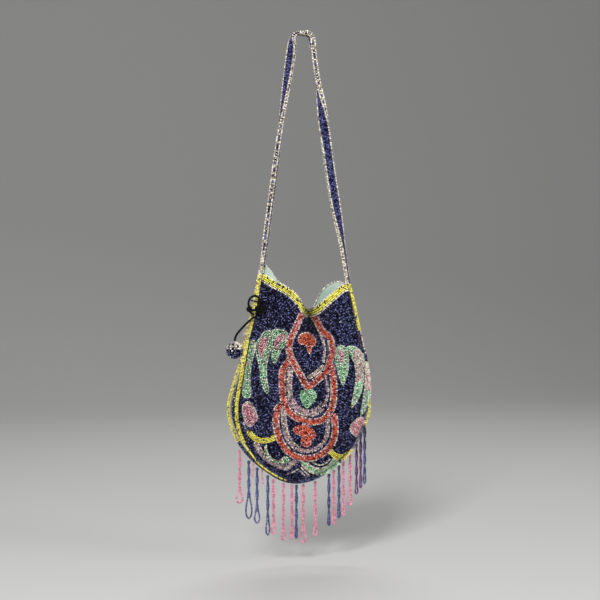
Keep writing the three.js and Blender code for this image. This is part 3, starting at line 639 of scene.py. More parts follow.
ground_cloth = cloth_paint("ground_cloth", "06060c", "14141f", 260, 0.85, 0.02, 0.5)
seam_cloth = cloth_paint("seam_cloth", "0c090a", "221a1c", 260, 0.85, 0.02, 0.5)
satin = cloth_paint("aqua_satin", "8ca69c", "c2d0c4", 420, 0.32, 0.2, 0.15, 0.5)
black_cord = cloth_paint("black_cord", "020203", "0b0b0d", 300, 0.7, 0.01, 0.6)
print("cloth materials:", [paint.name for paint in (ground_cloth, seam_cloth, satin, black_cord)])

# %% [markdown]
# ## The fastening cord
# A black cord is looped round the left edge, tied in a knot in front of it, and hangs free down to a
# ball covered with beads. It is drawn as a smooth curve with a round section. The hanging end is the
# only free cord of the purse.

# %% Cord, loop and knot
CORD_RADIUS = 0.65
HANGING_RADIUS = 1.2
EDGING_OUT = 2.45
EDGING_RADIUS = 2.1
BALL_RADIUS = 9.2
LOOP_LEVEL, KNOT_LEVEL, BALL_LEVEL = -280, -290, -335
KNOT_SIZE, KNOT_RADIUS, COIL_POINTS = 3.0, 1.15, 25
PANEL_CLEAR, CORD_CLEAR, BALL_CLEAR = 1.1, 0.85, 4.9


def left_share(side, z):
    """Share of the seam's length at a height on the left."""
    half = len(side.seam) // 2
    return np.interp(-z, -side.seam[:half, 1], side.run[:half]) / side.run[-1]


def cord_curve(name, points, radius):
    """Round cord along a smooth line through points in millimetres."""
    line = steps_along(smooth_line(points), spacing=1.0)
    data = bpy.data.curves.new(name, "CURVE")
    data.dimensions = "3D"
    data.bevel_depth = radius * MM
    data.bevel_resolution = 3
    data.use_fill_caps = True
    spline = data.splines.new("POLY")
    spline.points.add(len(line) - 1)
    for point, spot in zip(spline.points, line * MM):
        point.co = (*spot, 1)
    data.materials.append(black_cord)
    made = bpy.data.objects.new(name, data)
    scene.collection.objects.link(made)
    return made, line


knot_spot = front.rim([left_share(front, KNOT_LEVEL)], EDGING_OUT, EDGING_RADIUS + KNOT_SIZE)[0][0]
ball_spot = back.rim([left_share(back, BALL_LEVEL)], BALL_CLEAR + BALL_RADIUS)[0][0] * (1, 0, 1)
cord_top = knot_spot + (-1, 0, -5.5)
cord_end = ball_spot + (0, 0, BALL_RADIUS + CORD_CLEAR)
cord_route = [cord_top + (cord_end - cord_top) * way for way in
              ((0, 0, 0), (0.3, 0.1, 0.2), (0.65, 0.4, 0.48), (0.93, 0.8, 0.78), (1, 1, 1))]
hanging_cord, cord_line = cord_curve("hanging_cord", cord_route, HANGING_RADIUS)


def on_panel(side, share, inset=3.4):
    """Spot for the cord on a panel, at a share of the seam and an inset from it."""
    spot = side.rim([share], -inset)[0][0]
    return side.place(spot[0], spot[2], PANEL_CLEAR + CORD_RADIUS)[0][0]


loop_front, loop_back = left_share(front, LOOP_LEVEL), left_share(back, LOOP_LEVEL)
clear = EDGING_RADIUS + CORD_CLEAR + CORD_RADIUS
cord_loop, _ = cord_curve("cord_loop_round_edge", [
    on_panel(front, loop_front), front.rim([loop_front], EDGING_OUT, clear)[0][0],
    front.rim([loop_front], EDGING_OUT + clear)[0][0], back.rim([loop_back], EDGING_OUT + clear)[0][0],
    back.rim([loop_back], EDGING_OUT, clear)[0][0], on_panel(back, loop_back)], CORD_RADIUS)
turns = np.linspace(0, 6 * np.pi, COIL_POINTS)
wound = np.linspace(1.0, 2.3, COIL_POINTS)
coil = np.stack([-6.4 + wound * np.cos(turns), np.linspace(-1.8, 1.0, COIL_POINTS),
                 2.2 + wound * np.sin(turns)], axis=1)
arch = [(-7.5, -0.8, 6.5), (-6.4, -1, 12.5), (-2, -1.4, 16), (3.4, -1.6, 14), (4.4, -2, 7)]
bow = [(6, -2.6, 4), (9.5, -3.4, 6), (11, -3.6, 2.8), (7, -3, 0.3), (2.5, -2, 1), (0, -1.6, 3),
       (3, -3.4, 5.5), (7.5, -4.4, 5), (9.4, -4.4, 1.2), (5, -3.6, -1.4), (0.5, -2.6, -0.4),
       (2, -3.6, 3.4), (6, -4.8, 3.2), (7.4, -5, 1.8), (3, -4.2, 0.6), (-3, -1.6, 1),
       (-6, -1.8, -0.6), (-2, -0.6, -3.6)]
cord_knot, _ = cord_curve("cord_knot_tied", knot_spot + np.vstack([coil, arch, bow]), KNOT_RADIUS)

# %% Ball of beads on the cord
BALL_RINGS, UPPER_RINGS = 11, 5
CORE_DEPTH, BALL_BEAD_DEPTH = 1.5, 0.9
# Spacing, width and length of the beads, and their shares of cream, lilac and navy.
UPPER_BEADS = (1.95, 2.1, 1.8), (0.55, 0.17, 0.28)
LOWER_BEADS = (1.65, 1.7, 1.5), (0.06, 0.04, 0.9)
bpy.ops.object.select_all(action="DESELECT")
bpy.ops.mesh.primitive_uv_sphere_add(segments=20, ring_count=12, radius=(BALL_RADIUS - CORE_DEPTH) * MM,
                                     location=ball_spot * MM)
ball_core = bpy.context.active_object
ball_core.name = "ball_core"
bpy.ops.object.mode_set(mode="EDIT")
bpy.ops.mesh.select_all(action="SELECT")
bpy.ops.transform.resize(value=(1, 1, 0.97), center_override=tuple(ball_spot * MM))
bpy.ops.object.mode_set(mode="OBJECT")
bpy.ops.object.transform_apply(location=True, rotation=True, scale=True)
bpy.ops.object.shade_smooth()
ball_core.data.materials.append(ground_cloth)
bead_reach = BALL_RADIUS - BALL_BEAD_DEPTH
for ring in range(BALL_RINGS):
    tilt = np.pi * (ring + 0.5) / BALL_RINGS
    (spacing, width, length), shares = UPPER_BEADS if ring < UPPER_RINGS else LOWER_BEADS
    around = bead_reach * math.sin(tilt)
    count = max(int(2 * np.pi * around / spacing), 1)
    turn = np.linspace(0, 2 * np.pi, count, endpoint=False) + ring
    out = np.stack([np.sin(tilt) * np.cos(turn), np.sin(tilt) * np.sin(turn), np.full(count, np.cos(tilt))],
                   axis=1)
    thread = np.stack([-np.sin(turn), np.cos(turn), 0 * turn], 1)
    centres = ball_spot + out * bead_reach
    colours = rng.choice(["cream", "lilac", "navy"], count, p=shares)
    for colour in np.unique(colours):
        chosen = colours == colour
        sew("ball", str(colour), centres[chosen], thread[chosen], out[chosen], width, length)
print("ball at", [round(float(v), 1) for v in ball_spot])

# %% [markdown]
# ## Cloth of the bag
# Each panel is one piece of cloth, cut as a shield, and the strap is joined to the upper corners of the
# back. A flat grid of squares is laid between the mouth and the seam, lifted onto the bag's surface and
# given its thickness. The satin lining is a second grid a little further in, with soft folds that run
# down from the mouth.

# %% Cloth grids
SIDE_SHARE = 0.36  # of the seam, for each side of the grid
COLUMNS, ROWS = 72, 96
CLOTH_DEPTH, SATIN_DEPTH = 1.45, 2.9
CLOTH_THICKNESS, SATIN_THICKNESS, STRIP_THICKNESS = 0.5, 0.35, 0.6
STRIP_INSET, STRIP_DEPTH = 1.0, 1.2
FOLD_HEIGHT, CORNER_TUCK = 0.55, 1.1


def panel_grid(side, columns, rows):
    """Places (x, z) of a grid that fills the panel from the mouth to the seam."""
    u, v, run = np.linspace(0, 1, columns + 1), np.linspace(0, 1, rows + 1), side.run[-1]
    top, bottom = side.mouth_line(u), side.at_run(SIDE_SHARE * run + (1 - 2 * SIDE_SHARE) * run * u)
    left, right = side.at_run(SIDE_SHARE * run * v), side.at_run(run - SIDE_SHARE * run * v)
    across, down = np.meshgrid(u, v)
    across, down = across[..., None], down[..., None]
    return ((1 - down) * top + down * bottom + (1 - across) * left[:, None] + across * right[:, None]
            - (1 - across) * (1 - down) * top[0] - across * (1 - down) * top[-1]
            - (1 - across) * down * bottom[0] - across * down * bottom[-1])


def cloth_sheet(name, grid, thickness, paint):
    """Sheet of cloth over a grid of points in millimetres. Returns it with its area in square metres."""
    rows, columns = grid.shape[:2]
    bpy.ops.object.select_all(action="DESELECT")
    bpy.ops.mesh.primitive_grid_add(x_subdivisions=columns - 1, y_subdivisions=rows - 1, size=2)
    cloth = bpy.context.active_object
    cloth.name = name
    flat = np.array([corner.co for corner in cloth.data.vertices])
    column = np.rint((flat[:, 0] + 1) / 2 * (columns - 1)).astype(int)
    row = np.rint((1 - flat[:, 1]) / 2 * (rows - 1)).astype(int)
    cloth.data.vertices.foreach_set("co", (grid[row, column] * MM).astype(np.float32).ravel())
    cloth.data.update()
    area = sum(face.area for face in cloth.data.polygons)
    bpy.ops.object.modifier_add(type="SOLIDIFY")
    cloth.modifiers[-1].thickness = thickness * MM
    cloth.modifiers[-1].offset = 0
    bpy.ops.object.modifier_apply(modifier=cloth.modifiers[-1].name)
    bpy.ops.object.mode_set(mode="EDIT")
    bpy.ops.mesh.select_all(action="SELECT")
    bpy.ops.mesh.normals_make_consistent(inside=False)
    bpy.ops.object.mode_set(mode="OBJECT")
    bpy.ops.object.shade_smooth_by_angle(angle=math.radians(50))
    cloth.data.materials.append(paint)
    return cloth, area


cloths = {}
for label, side in (("front", front), ("back", back)):
    flat_grid = panel_grid(side, COLUMNS, ROWS)
    shape = flat_grid.shape[:2]
    x, z = flat_grid[..., 0].ravel(), flat_grid[..., 1].ravel()
    ground = side.place(x, z, -CLOTH_DEPTH)[0].reshape(*shape, 3)
    cloths[label + "_cloth"] = cloth_sheet(label + "_cloth", ground, CLOTH_THICKNESS, ground_cloth)
    u, v = np.meshgrid(np.linspace(0, 1, shape[1]), np.linspace(0, 1, shape[0]))
    folds = FOLD_HEIGHT * np.sin(38 * u + 5 * v + 2 * np.sin(9 * u)) * smoothstep(v, 0.03, 0.2)
    tucked = CORNER_TUCK * smoothstep(np.abs(u - 0.5), 0.44, 0.5)
    depth = -SATIN_DEPTH + folds * (1 - tucked) + tucked
    inner = side.place(x, z, depth.ravel())[0].reshape(*shape, 3)
    cloths[label + "_satin"] = cloth_sheet(label + "_satin", inner, SATIN_THICKNESS, satin)
share_line = np.linspace(0.03, 0.97, 161)
front_edge = front.rim(share_line, -STRIP_INSET, -STRIP_DEPTH)[0]
back_edge = back.rim(share_line, -STRIP_INSET, -STRIP_DEPTH)[0]
strip = np.stack([front_edge + (back_edge - front_edge) * t for t in np.linspace(0, 1, 6)], axis=0)
cloths["gusset_cloth"] = cloth_sheet("gusset_cloth", strip, STRIP_THICKNESS, seam_cloth)
print({name: round(area * 1e4) for name, (cloth, area) in cloths.items()}, "square cm")

# %% [markdown]
# ## The mouth
# A band of yellow rows runs along the mouth, closed off by one cream row above and one below. Each row
# is the line of the mouth, moved down over the cloth by one row more than the last.

# %% Rows along the mouth
ROW = 1.72  # between the rows of the fields
MOUTH_ROW = 1.95
MOUTH_START = 0.7  # from the edge to the first row
STEP = 1.5  # from bead to bead
BEAD_DEPTH = 0.6  # of a bead's middle below the surface
# The mouth band's beads are made brighter than the rest of their colour: painted light that makes up for the
# shade between its close rows.
MOUTH_BEAD, MOUTH_PAINTED_LIGHT = 1.75, 0.6
PIPING_BEAD, PIPING_STEP, PIPING_KEPT = 1.8, 1.55, 0.92
BAND_ROWS = ["yellow", "yellow", "yellow", "cream"]
STITCHES = 0.18  # share of dark stitches in the upper row of the band


def moved_line(line, distance):
    """Line in the X-Z plane moved down off itself."""
    along = directions(line)
    return line + np.stack([along[:, 1], -along[:, 0]], axis=1) * distance


def mouth_top(side):
    """Line of the edge of the mouth."""
    return side.mouth_line(np.linspace(0, 1, 260))


for label, side in (("front", front), ("back", back)):
    for number, colour in enumerate(BAND_ROWS):
        flat = moved_line(mouth_top(side), MOUTH_START + MOUTH_ROW * number)
        flat = flat[side.seam_distance(flat[:, 0], flat[:, 1]) > 0.4]
        row = steps_along(side.place(flat[:, 0], flat[:, 1])[0], spacing=STEP)
        centres, out = side.place(row[:, 0], row[:, 2], -BEAD_DEPTH)
        stitched = rng.random(len(row)) < (STITCHES if number == 0 else STITCHES / 6)
        # Every bead of the band is brightened by the same amount, as painted light.
        thread, bright = directions(row), np.full(len(row), MOUTH_PAINTED_LIGHT)
        for own, chosen in ((colour, ~stitched), ("navy", stitched)):
            sew(label + "_mouth", own, centres[chosen], thread[chosen], out[chosen], MOUTH_BEAD,
                streak=bright[chosen])
    flat = side.mouth_line(np.linspace(0.02, 0.98, 240))
    row = steps_along(side.place(flat[:, 0], flat[:, 1], -1.0)[0], spacing=PIPING_STEP)
    row[:, 2] += 0.9
    kept = rng.random(len(row)) < PIPING_KEPT
    sew(label + "_piping", "cream", row[kept], directions(row)[kept], (0, 0, 1), PIPING_BEAD)
print("mouth heaps:", sorted(key for key in heaps if "mouth" in key[0]))

# %% [markdown]
# ## The pattern of the front
# The front carries a traditional ornament: a column of three red rings with a motif in each, and on
# either side three plumes, most of them green, a pink bud and a pair of scallops. It is drawn on a
# square sheet held in front of the purse, as bands with a row count and as closed patches, each
# through a few points. Later shapes lie over earlier ones.

# %% Mixed colours
MIXES = {
    "navy": {"navy": 1.0},
    "cream": {"cream": 0.9, "lilac": 0.1},
    "ruby": {"red": 0.82, "coral": 0.08, "pink": 0.1},
    "blush": {"red": 0.5, "pink": 0.38, "coral": 0.12},
    "ember": {"coral": 0.85, "red": 0.15},
    "ember_deep": {"coral": 0.62, "red": 0.3, "pink": 0.08},
    "ember_hem": {"coral": 0.35, "pink": 0.4, "cream": 0.25},
    "ruby_hem": {"red": 0.5, "lilac": 0.3, "pink": 0.2},
    "leaf": {"green": 0.56, "mint": 0.32, "cream": 0.12},
    "leaf_bright": {"green": 0.8, "mint": 0.2},
    "leaf_pale": {"mint": 0.55, "cream": 0.25, "green": 0.2},
    "petal": {"pink": 0.5, "rose": 0.38, "cream": 0.07, "lilac": 0.05},
    "petal_pale": {"cream": 0.5, "pink": 0.35, "mint": 0.15},
    "ash": {"lilac": 0.62, "cream": 0.18, "pink": 0.14, "navy": 0.06},
    "hem": {"cream": 0.4, "lilac": 0.38, "pink": 0.14, "navy": 0.08},
    "leaf_hem": {"cream": 0.45, "mint": 0.4, "green": 0.15},
    "sun": {"yellow": 0.94, "navy": 0.06},
    "faded": {"yellow": 0.45, "cream": 0.3, "lilac": 0.15, "navy": 0.1},
    "worn": {"": 0.4, "green": 0.1, "lilac": 0.15, "navy": 0.35},
}


def pick(mix, count):
    """Bead colours drawn from a mix. An empty name stands for a lost bead."""
    return rng.choice(list(MIXES[mix]), count, p=list(MIXES[mix].values()))


print("mixes:", len(MIXES), "and a few leaves:", list(pick("leaf", 5)))

# %% Patches of the pattern
PATCHES = [
    ("plume_left_1", "leaf_hem", "leaf", [
        (255, 339.5), (249.5, 342), (245, 351), (242.7, 358), (241.5, 375), (243.4, 397.5), (250.2, 397.5),
        (250.5, 375), (254, 355.5), (257.5, 346)]),
    ("plume_left_2", "leaf_hem", "leaf", [
        (255, 343), (260, 337), (262.8, 332), (268.9, 329.9), (275, 330), (276, 338), (271.5, 350),
        (267, 368), (268, 383), (269.4, 389), (267.8, 395), (263, 389), (260, 379), (258.8, 367),
        (255.5, 353)]),
    ("plume_left_3", "leaf_hem", "leaf", [
        (272, 330), (279, 328.8), (286.5, 331), (289, 337), (286.5, 344), (281.5, 351), (278.5, 358),
        (275, 364.5), (271.5, 360), (272, 350), (273.5, 340)]),
    ("core_left_1", "petal", "petal", [
        (258.2, 344), (261.7, 339.5), (267.5, 337), (267, 343.5), (263.8, 351.3), (261.7, 359),
        (259.5, 351.5)]),
    ("core_left_2", "petal", "petal", [
        (275, 340), (279, 335.2), (284.5, 333.6), (284, 339), (279.5, 343.5), (275.8, 350), (273.8, 346)]),
    ("plume_right_3", "petal_pale", "petal_pale", [
        (362, 350), (366, 360), (369.6, 373), (370.6, 391), (369, 404), (364.5, 412), (360.8, 415.5),
        (362.5, 402), (364.6, 387), (365.2, 371), (363, 358)]),
    ("plume_right_3_tip", "leaf_pale", "leaf_pale", [
        (370.4, 391), (369, 404), (364.5, 412), (360.8, 415.5), (362.5, 402), (364.8, 391)]),
    ("plume_right_1", "leaf_hem", "leaf", [
        (341, 344.8), (337, 347), (334.9, 356.5), (337.2, 371), (340.8, 382), (343, 386.5), (346, 381),
        (349, 369), (349.3, 360), (347, 348)]),
    ("plume_right_2", "leaf_hem", "leaf", [
        (346, 347.5), (350, 345.5), (356, 346.5), (360.8, 350), (363.6, 360), (364.3, 374), (363.6, 385),
        (361, 394), (357, 402.5), (351.3, 409), (353, 395.5), (355, 385), (355.6, 373), (354, 363.5),
        (350.5, 355.5)]),
    ("core_right_1", "petal", "petal", [
        (338.6, 351), (342, 349.6), (344.4, 352.5), (344, 359), (342.3, 364), (340, 358)]),
    ("core_right_2", "petal", "petal_pale", [
        (354.2, 351), (358.5, 350.5), (361.6, 355), (363, 364), (362.6, 374), (360, 381), (357.2, 381),
        (356.8, 370), (355.3, 360)]),
    ("bud_left", "petal_pale", "petal", [
        (242.6, 404.4), (248, 401), (252.5, 404.4), (257, 412.8), (257.9, 419), (254, 424.6),
        (250.5, 427.4), (246, 425), (243, 417), (241.8, 410)]),
    ("bud_right", "petal_pale", "petal", [
        (357, 418.6), (362, 416.6), (365.4, 421), (363.5, 426), (359.6, 433), (357, 437.4), (353, 435),
        (349.6, 429.5), (351, 424.5)]),
    ("leaf_low_left", "leaf_hem", "leaf", [
        (280.5, 461.5), (282.5, 457.5), (287, 456.6), (289.6, 459), (288.4, 463), (284, 464)]),
    ("worn_spot", "worn", "worn", [
        (338, 313), (340.6, 314), (341.8, 319), (341.5, 323.4), (339.4, 323), (337.6, 318)]),
]
TOP_PATCHES = [
    ("flower_top", "ember_hem", "ember", [
        (297.8, 338), (300, 334), (304, 332), (309, 332.2), (314, 335.6), (316.6, 341), (315, 346),
        (312.2, 347.4), (312, 352.5), (310, 354.8), (307, 350.5), (305.4, 345), (301, 345), (298, 341.8)]),
    ("shield", "leaf_bright", "leaf_bright", [
        (299.8, 394.6), (302.5, 389.5), (306, 391), (309.6, 388.8), (313.6, 389.6), (317, 395.4),
        (315.4, 401), (311.2, 404.5), (307.4, 409), (302.6, 404)]),
    ("flower_low", "ruby_hem", "ember_deep", [
        (292.3, 429.4), (296.5, 426), (304, 424.2), (311, 427), (316.4, 434.6), (314.6, 439), (311.5, 441),
        (311.4, 445.4), (307, 447.6), (302.4, 446), (300.5, 441.4), (301.5, 437.5), (296.5, 434.6)]),
]
print("patches:", len(PATCHES) + len(TOP_PATCHES))

# %% Bands of the pattern
RED = ["hem", "ruby", "ruby", "ruby", "hem"]
BLUSH = ["hem", "ruby", "blush", "blush", "hem"]
SUN = ["sun", "sun", "sun", "sun"]
BANDS = [
    ("arc_low_left", ["ash", "cream", "ash", "ash"], [
        (256.4, 444.5), (259.8, 451), (265.3, 457.4), (273, 462.7), (280.5, 466.7), (286.5, 467.4),
        (294.5, 462.5)]),
    ("arc_green_left", ["leaf", "cream"], [
        (265.4, 446), (266.6, 453), (270.6, 458.4), (275.5, 461.2), (281, 461.8)]),
    ("arc_white_left", ["cream"], [(287, 474.6), (293.9, 472), (299.4, 468.4)]),
    ("row_by_bud", ["cream"], [(243.6, 423), (245, 427.6), (248.8, 433.8)]),
    ("rows_low_middle", ["ash", "navy", "cream"], [(300.4, 469), (304, 473), (308.5, 477)]),
    ("scallop_green_right", ["cream", "leaf_pale", "leaf", "leaf_pale", "cream"], [
        (304.2, 463), (309.5, 468.6), (317, 471.4), (325, 470.6), (331.6, 466.4), (336, 460)]),
    ("arc_white_right", ["cream"], [(313, 463), (319.5, 465.4), (326, 463.6), (330, 459.5)]),
    ("scallop_yellow_left", SUN, [(249.5, 433.5), (255, 438.6), (261, 440.8), (267, 440.4), (275, 437.6)]),
    ("scallop_yellow_right", SUN, [
        (329.4, 450), (334.7, 455.4), (340.8, 457.4), (346.9, 455.4), (352.3, 450.6)]),
    ("ring_low", RED, [
        (283, 404), (277.8, 408.3), (276.2, 416), (275.9, 423.6), (277.8, 433.5), (281.6, 443.4),
        (287.7, 451), (295.4, 456.5), (305, 458.6), (315.3, 457.4), (324.5, 452.4), (330.6, 446),
        (334.5, 437), (335.4, 427), (334.2, 416)]),
    ("inner_low_left", ["ash", "ash", "ash", "cream"], [
        (283.6, 411), (284.3, 423.6), (286.2, 433.5), (290.8, 442.6), (297, 448.6)]),
    ("inner_low_right", ["ash", "hem", "ash"], [
        (296, 448.2), (303, 451), (310, 450.8), (318.6, 447.4), (324.6, 441), (327.6, 432), (327.6, 420)]),
    ("ring_middle", RED, [
        (289.5, 360), (283, 370), (282.2, 385.3), (283.9, 400.6), (288.5, 411), (295.4, 417), (302.5, 420),
        (313.3, 422), (323.5, 419.4), (331.2, 409.6), (334, 396.3), (333.7, 381), (331.6, 367)]),
    ("inner_middle_left", ["ash", "petal_pale", "ash", "petal_pale"], [
        (290.5, 370), (289.4, 385.3), (291, 399), (294.5, 405.5)]),
    ("inner_middle_low", ["hem", "ash", "ash", "hem", "ash"], [
        (291.5, 401), (296, 407.6), (302.6, 411.8), (310, 413.4), (317.6, 411), (323.5, 405)]),
    ("inner_middle_right", ["hem", "ash", "navy"], [
        (322.5, 406.4), (326.2, 399), (327.4, 391), (326.4, 380)]),
    ("ring_top", BLUSH, [
        (302, 315), (299.5, 320), (295, 330), (290.2, 340.5), (289.4, 351), (292.4, 360), (299.5, 373),
        (305.5, 383.6)]),
    ("ring_top_right", RED, [
        (314.5, 317.5), (317.5, 322.5), (321.6, 330.4), (328.4, 336), (331.6, 343.3), (332.4, 352.4),
        (330, 360.6), (328, 369), (322.8, 375.4), (316, 381), (308, 387.5), (304.6, 383)]),
    ("inner_top", ["ash", "cream"], [(319.4, 333), (322.6, 339.4), (324.6, 349.4), (323.4, 362)]),
    ("inner_top_low", ["cream", "ash", "cream"], [(323.6, 366), (318, 371.4), (310, 377)]),
]
LAID_ACROSS = ("scallop_yellow_left", "scallop_yellow_right")
print("bands:", len(BANDS), "with", sum(len(rows) for _, rows, _ in BANDS), "rows")

# %% [markdown]
# ## From the sheet to the cloth
# A fine grid is laid over the front panel. Each crossing of the grid is seen at one spot of the
# sheet, so it is known which shape of the pattern it belongs to. The rows of the bands are carried
# over the other way, by moving a point on the cloth until it is seen where it was drawn.

# %% Shapes on the grid
GRID = 0.5
grid_x = np.arange(-77, 77.1, GRID)
grid_z = np.arange(-250, -474, -GRID)
GX, GZ = np.meshgrid(grid_x, grid_z)
BAND_DEPTH = MOUTH_START + MOUTH_ROW * (len(BAND_ROWS) - 0.5)
GROUND, OUTSIDE = 0, -1
SEAM_CLEAR = 0.2
MOUTH_REACH = 40  # ground further below the mouth than this is clear of the band


def inside_ring(ring, s, t):
    """True where (s, t) lies inside a closed line."""
    hits = np.zeros(s.shape, bool)
    for (s0, t0), (s1, t1) in zip(ring, np.roll(ring, -1, axis=0)):
        crosses = (t0 > t) != (t1 > t)
        with np.errstate(divide="ignore", invalid="ignore"):
            hits ^= crosses & (s < (s1 - s0) * (t - t0) / (t1 - t0) + s0)
    return hits


def line_distance(line, s, t):
    """Distance from (s, t) to the nearest point of a fine line."""
    fine = steps_along(line, spacing=0.25)
    found = np.full(s.shape, np.inf)
    for ps, pt in fine:
        np.minimum(found, (s - ps) ** 2 + (t - pt) ** 2, out=found)
    return np.sqrt(found)


def panel_field(side):
    """Surface height over the grid, and where the ground of the panel lies."""
    height = side.height(GX.ravel(), GZ.ravel()).reshape(GX.shape)
    seam = side.seam_distance(GX.ravel(), GZ.ravel()).reshape(GX.shape)
    top = mouth_top(side)
    lower = moved_line(top, BAND_DEPTH)
    below = GZ < np.interp(GX, lower[:, 0], lower[:, 1])
    near = GZ > np.interp(GX, top[:, 0], top[:, 1]) - MOUTH_REACH
    clear_of_band = np.ones(GX.shape, bool)
    clear_of_band[near] = line_distance(top, GX[near], GZ[near]) > BAND_DEPTH
    return height, (seam > SEAM_CLEAR) & below & clear_of_band


front_height, front_ground = panel_field(front)
GS, GT = on_sheet(np.stack([GX, front_height, GZ], axis=-1))
labels = np.where(front_ground, GROUND, OUTSIDE)
shapes = [None]


def mark(name, cover, rule):
    """Gives a new shape the grid points that it covers."""
    shapes.append((name, rule))
    labels[cover & (labels != OUTSIDE)] = len(shapes) - 1


def mark_patch(name, edge, fill, points):
    """Marks a patch by its outline on the sheet."""
    mark(name, inside_ring(smooth_ring(points), GS, GT), ("patch", edge, fill))


for patch in PATCHES:
    mark_patch(*patch)
BAND_ROW = 1.55
for name, rows, points in BANDS:
    half = len(rows) * BAND_ROW / 2 / SHEET_MM
    mark(name, line_distance(smooth_line(points), GS, GT) < half, ("band", rows, points))
for patch in TOP_PATCHES:
    mark_patch(*patch)
print("grid:", GX.shape, "shapes:", len(shapes) - 1)

# %% Distance to the borders of the shapes
def border_distance(height, labels):
    """Distance over the cloth from each grid point to the nearest border between two shapes."""
    points = np.stack([GX, height, GZ], axis=-1)
    across, down = labels[:, 1:] != labels[:, :-1], labels[1:] != labels[:-1]
    borders = np.vstack([(points[:, 1:][across] + points[:, :-1][across]) / 2,
                         (points[1:][down] + points[:-1][down]) / 2])
    tree = kdtree.KDTree(len(borders))
    for number, spot in enumerate(borders):
        tree.insert(spot, number)
    tree.balance()
    distance = np.zeros(GX.shape)
    for row, column in np.argwhere(labels != OUTSIDE):
        distance[row, column] = tree.find(points[row, column])[2]
    for _ in range(2):
        distance[1:-1] = (distance[:-2] + 2 * distance[1:-1] + distance[2:]) / 4
        distance[:, 1:-1] = (distance[:, :-2] + 2 * distance[:, 1:-1] + distance[:, 2:]) / 4
    return distance


# Sides of a grid square that a level line joins, for each case of its corners: 0 is the upper side, 1 the
# right, 2 the lower and 3 the left one.
CROSSINGS = {1: [(3, 0)], 2: [(0, 1)], 3: [(3, 1)], 4: [(1, 2)], 5: [(3, 0), (1, 2)], 6: [(0, 2)],
             7: [(3, 2)], 8: [(2, 3)], 9: [(0, 2)], 10: [(0, 1), (2, 3)], 11: [(1, 2)], 12: [(1, 3)],
             13: [(0, 1)], 14: [(3, 0)]}


def level_lines(field, level):
    """Lines of one value in a field over the grid, each a list of (row, column) places."""
    above = (field > level).astype(int)
    case = above[:-1, :-1] + 2 * above[:-1, 1:] + 4 * above[1:, 1:] + 8 * above[1:, :-1]
    links = {}
    for i, j in np.argwhere((case > 0) & (case < 15)):
        sides = ((0, i, j), (1, i, j + 1), (0, i + 1, j), (1, i, j))
        for a, b in CROSSINGS[case[i, j]]:
            links.setdefault(sides[a], []).append(sides[b])
            links.setdefault(sides[b], []).append(sides[a])

    def place(side):
        upright, i, j = side
        k, m = (i + 1, j) if upright else (i, j + 1)
        t = (level - field[i, j]) / (field[k, m] - field[i, j])
        return i + t * (k - i), j + t * (m - j)

    lines = []
    for start in sorted(links, key=lambda side: len(links[side])):
        if start not in links:
            continue
        line, spot = [], start
        while spot is not None:
            line.append(place(spot))
            following = links.pop(spot)
            spot = next((side for side in following if side in links), None)
        lines.append(np.array(line))
    return lines


front_distance = border_distance(front_height, labels)
print("widest ground:", round(float(front_distance.max()), 1), "mm")

# %% Rows that follow the borders
def on_grid(field, line):
    """Values of a field at (row, column) places between the grid points."""
    i = np.clip(line[:, 0].astype(int), 0, field.shape[0] - 2)
    j = np.clip(line[:, 1].astype(int), 0, field.shape[1] - 2)
    a, b = line[:, 0] - i, line[:, 1] - j
    return ((1 - a) * (1 - b) * field[i, j] + (1 - a) * b * field[i, j + 1]
            + a * (1 - b) * field[i + 1, j] + a * b * field[i + 1, j + 1])


# Streaks of the rows, partly random tone and partly painted highlight and shade: a random one for each row,
# and one that takes turns from bead to bead.
ROW_STREAK, BEAD_PAINTED_LIGHT = 0.3, 0.65
SHORTEST_ROW = 1.2


def contour_rows(height, distance):
    """Beads along lines that keep an even distance to the borders: place, direction, row number and streak.
    In every row, bright and dark beads take turns and the whole row is a little brighter or darker at
    random: partly the beads' own random tone, partly painted highlight and shade that make the rows show."""
    found = []
    for number in range(int(distance.max() / ROW) + 1):
        for line in level_lines(distance, (number + 0.5) * ROW):
            spots = np.stack([on_grid(GX, line), on_grid(height, line), on_grid(GZ, line)], axis=1)
            if len(spots) > 6:
                spots[2:-2] = (spots[:-4] + spots[1:-3] + spots[2:-2] + spots[3:-1] + spots[4:]) / 5
            if np.linalg.norm(np.diff(spots, axis=0), axis=1).sum() < SHORTEST_ROW:
                continue
            row = steps_along(spots, spacing=STEP)
            turns = 1 - 2 * (np.arange(len(row)) % 2)
            streak = rng.uniform(-ROW_STREAK, ROW_STREAK) + BEAD_PAINTED_LIGHT * turns
            found.append(np.hstack([row, directions(row), np.full((len(row), 1), number), streak[:, None]]))
    return np.vstack(found)


AROUND = [(i, j, k) for i in (-1, 0, 1) for j in (-1, 0, 1) for k in (-1, 0, 1)]


def fill_gaps(height, labels, taken, closest=1.42):
    """Further beads where a spot of ground is still bare."""
    cells, added = {}, []
    for spot in taken:
        cells.setdefault(tuple((spot // closest).astype(int)), []).append(spot)
    wanted = np.argwhere(labels != OUTSIDE)
    for row, column in wanted[rng.permutation(len(wanted))]:
        spot = np.array([GX[row, column], height[row, column], GZ[row, column]])
        a, b, c = (spot // closest).astype(int)
        near = [p for i, j, k in AROUND for p in cells.get((a + i, b + j, c + k), ())]
        if near and ((np.array(near) - spot) ** 2).sum(1).min() < closest**2:
            continue
        cells.setdefault((a, b, c), []).append(spot)
        added.append(spot)
    return np.array(added).reshape(-1, 3)


def label_at(x, z):
    """Number of the shape at places of the front."""
    row = np.clip(np.rint((grid_z[0] - z) / GRID).astype(int), 0, len(grid_z) - 1)
    column = np.clip(np.rint((x - grid_x[0]) / GRID).astype(int), 0, len(grid_x) - 1)
    return labels[row, column]


front_rows = contour_rows(front_height, front_distance)
print("beads along the borders:", len(front_rows))

# %% Rows of the bands
SHEET_TRIES, SHEET_PULL = 14, 0.8


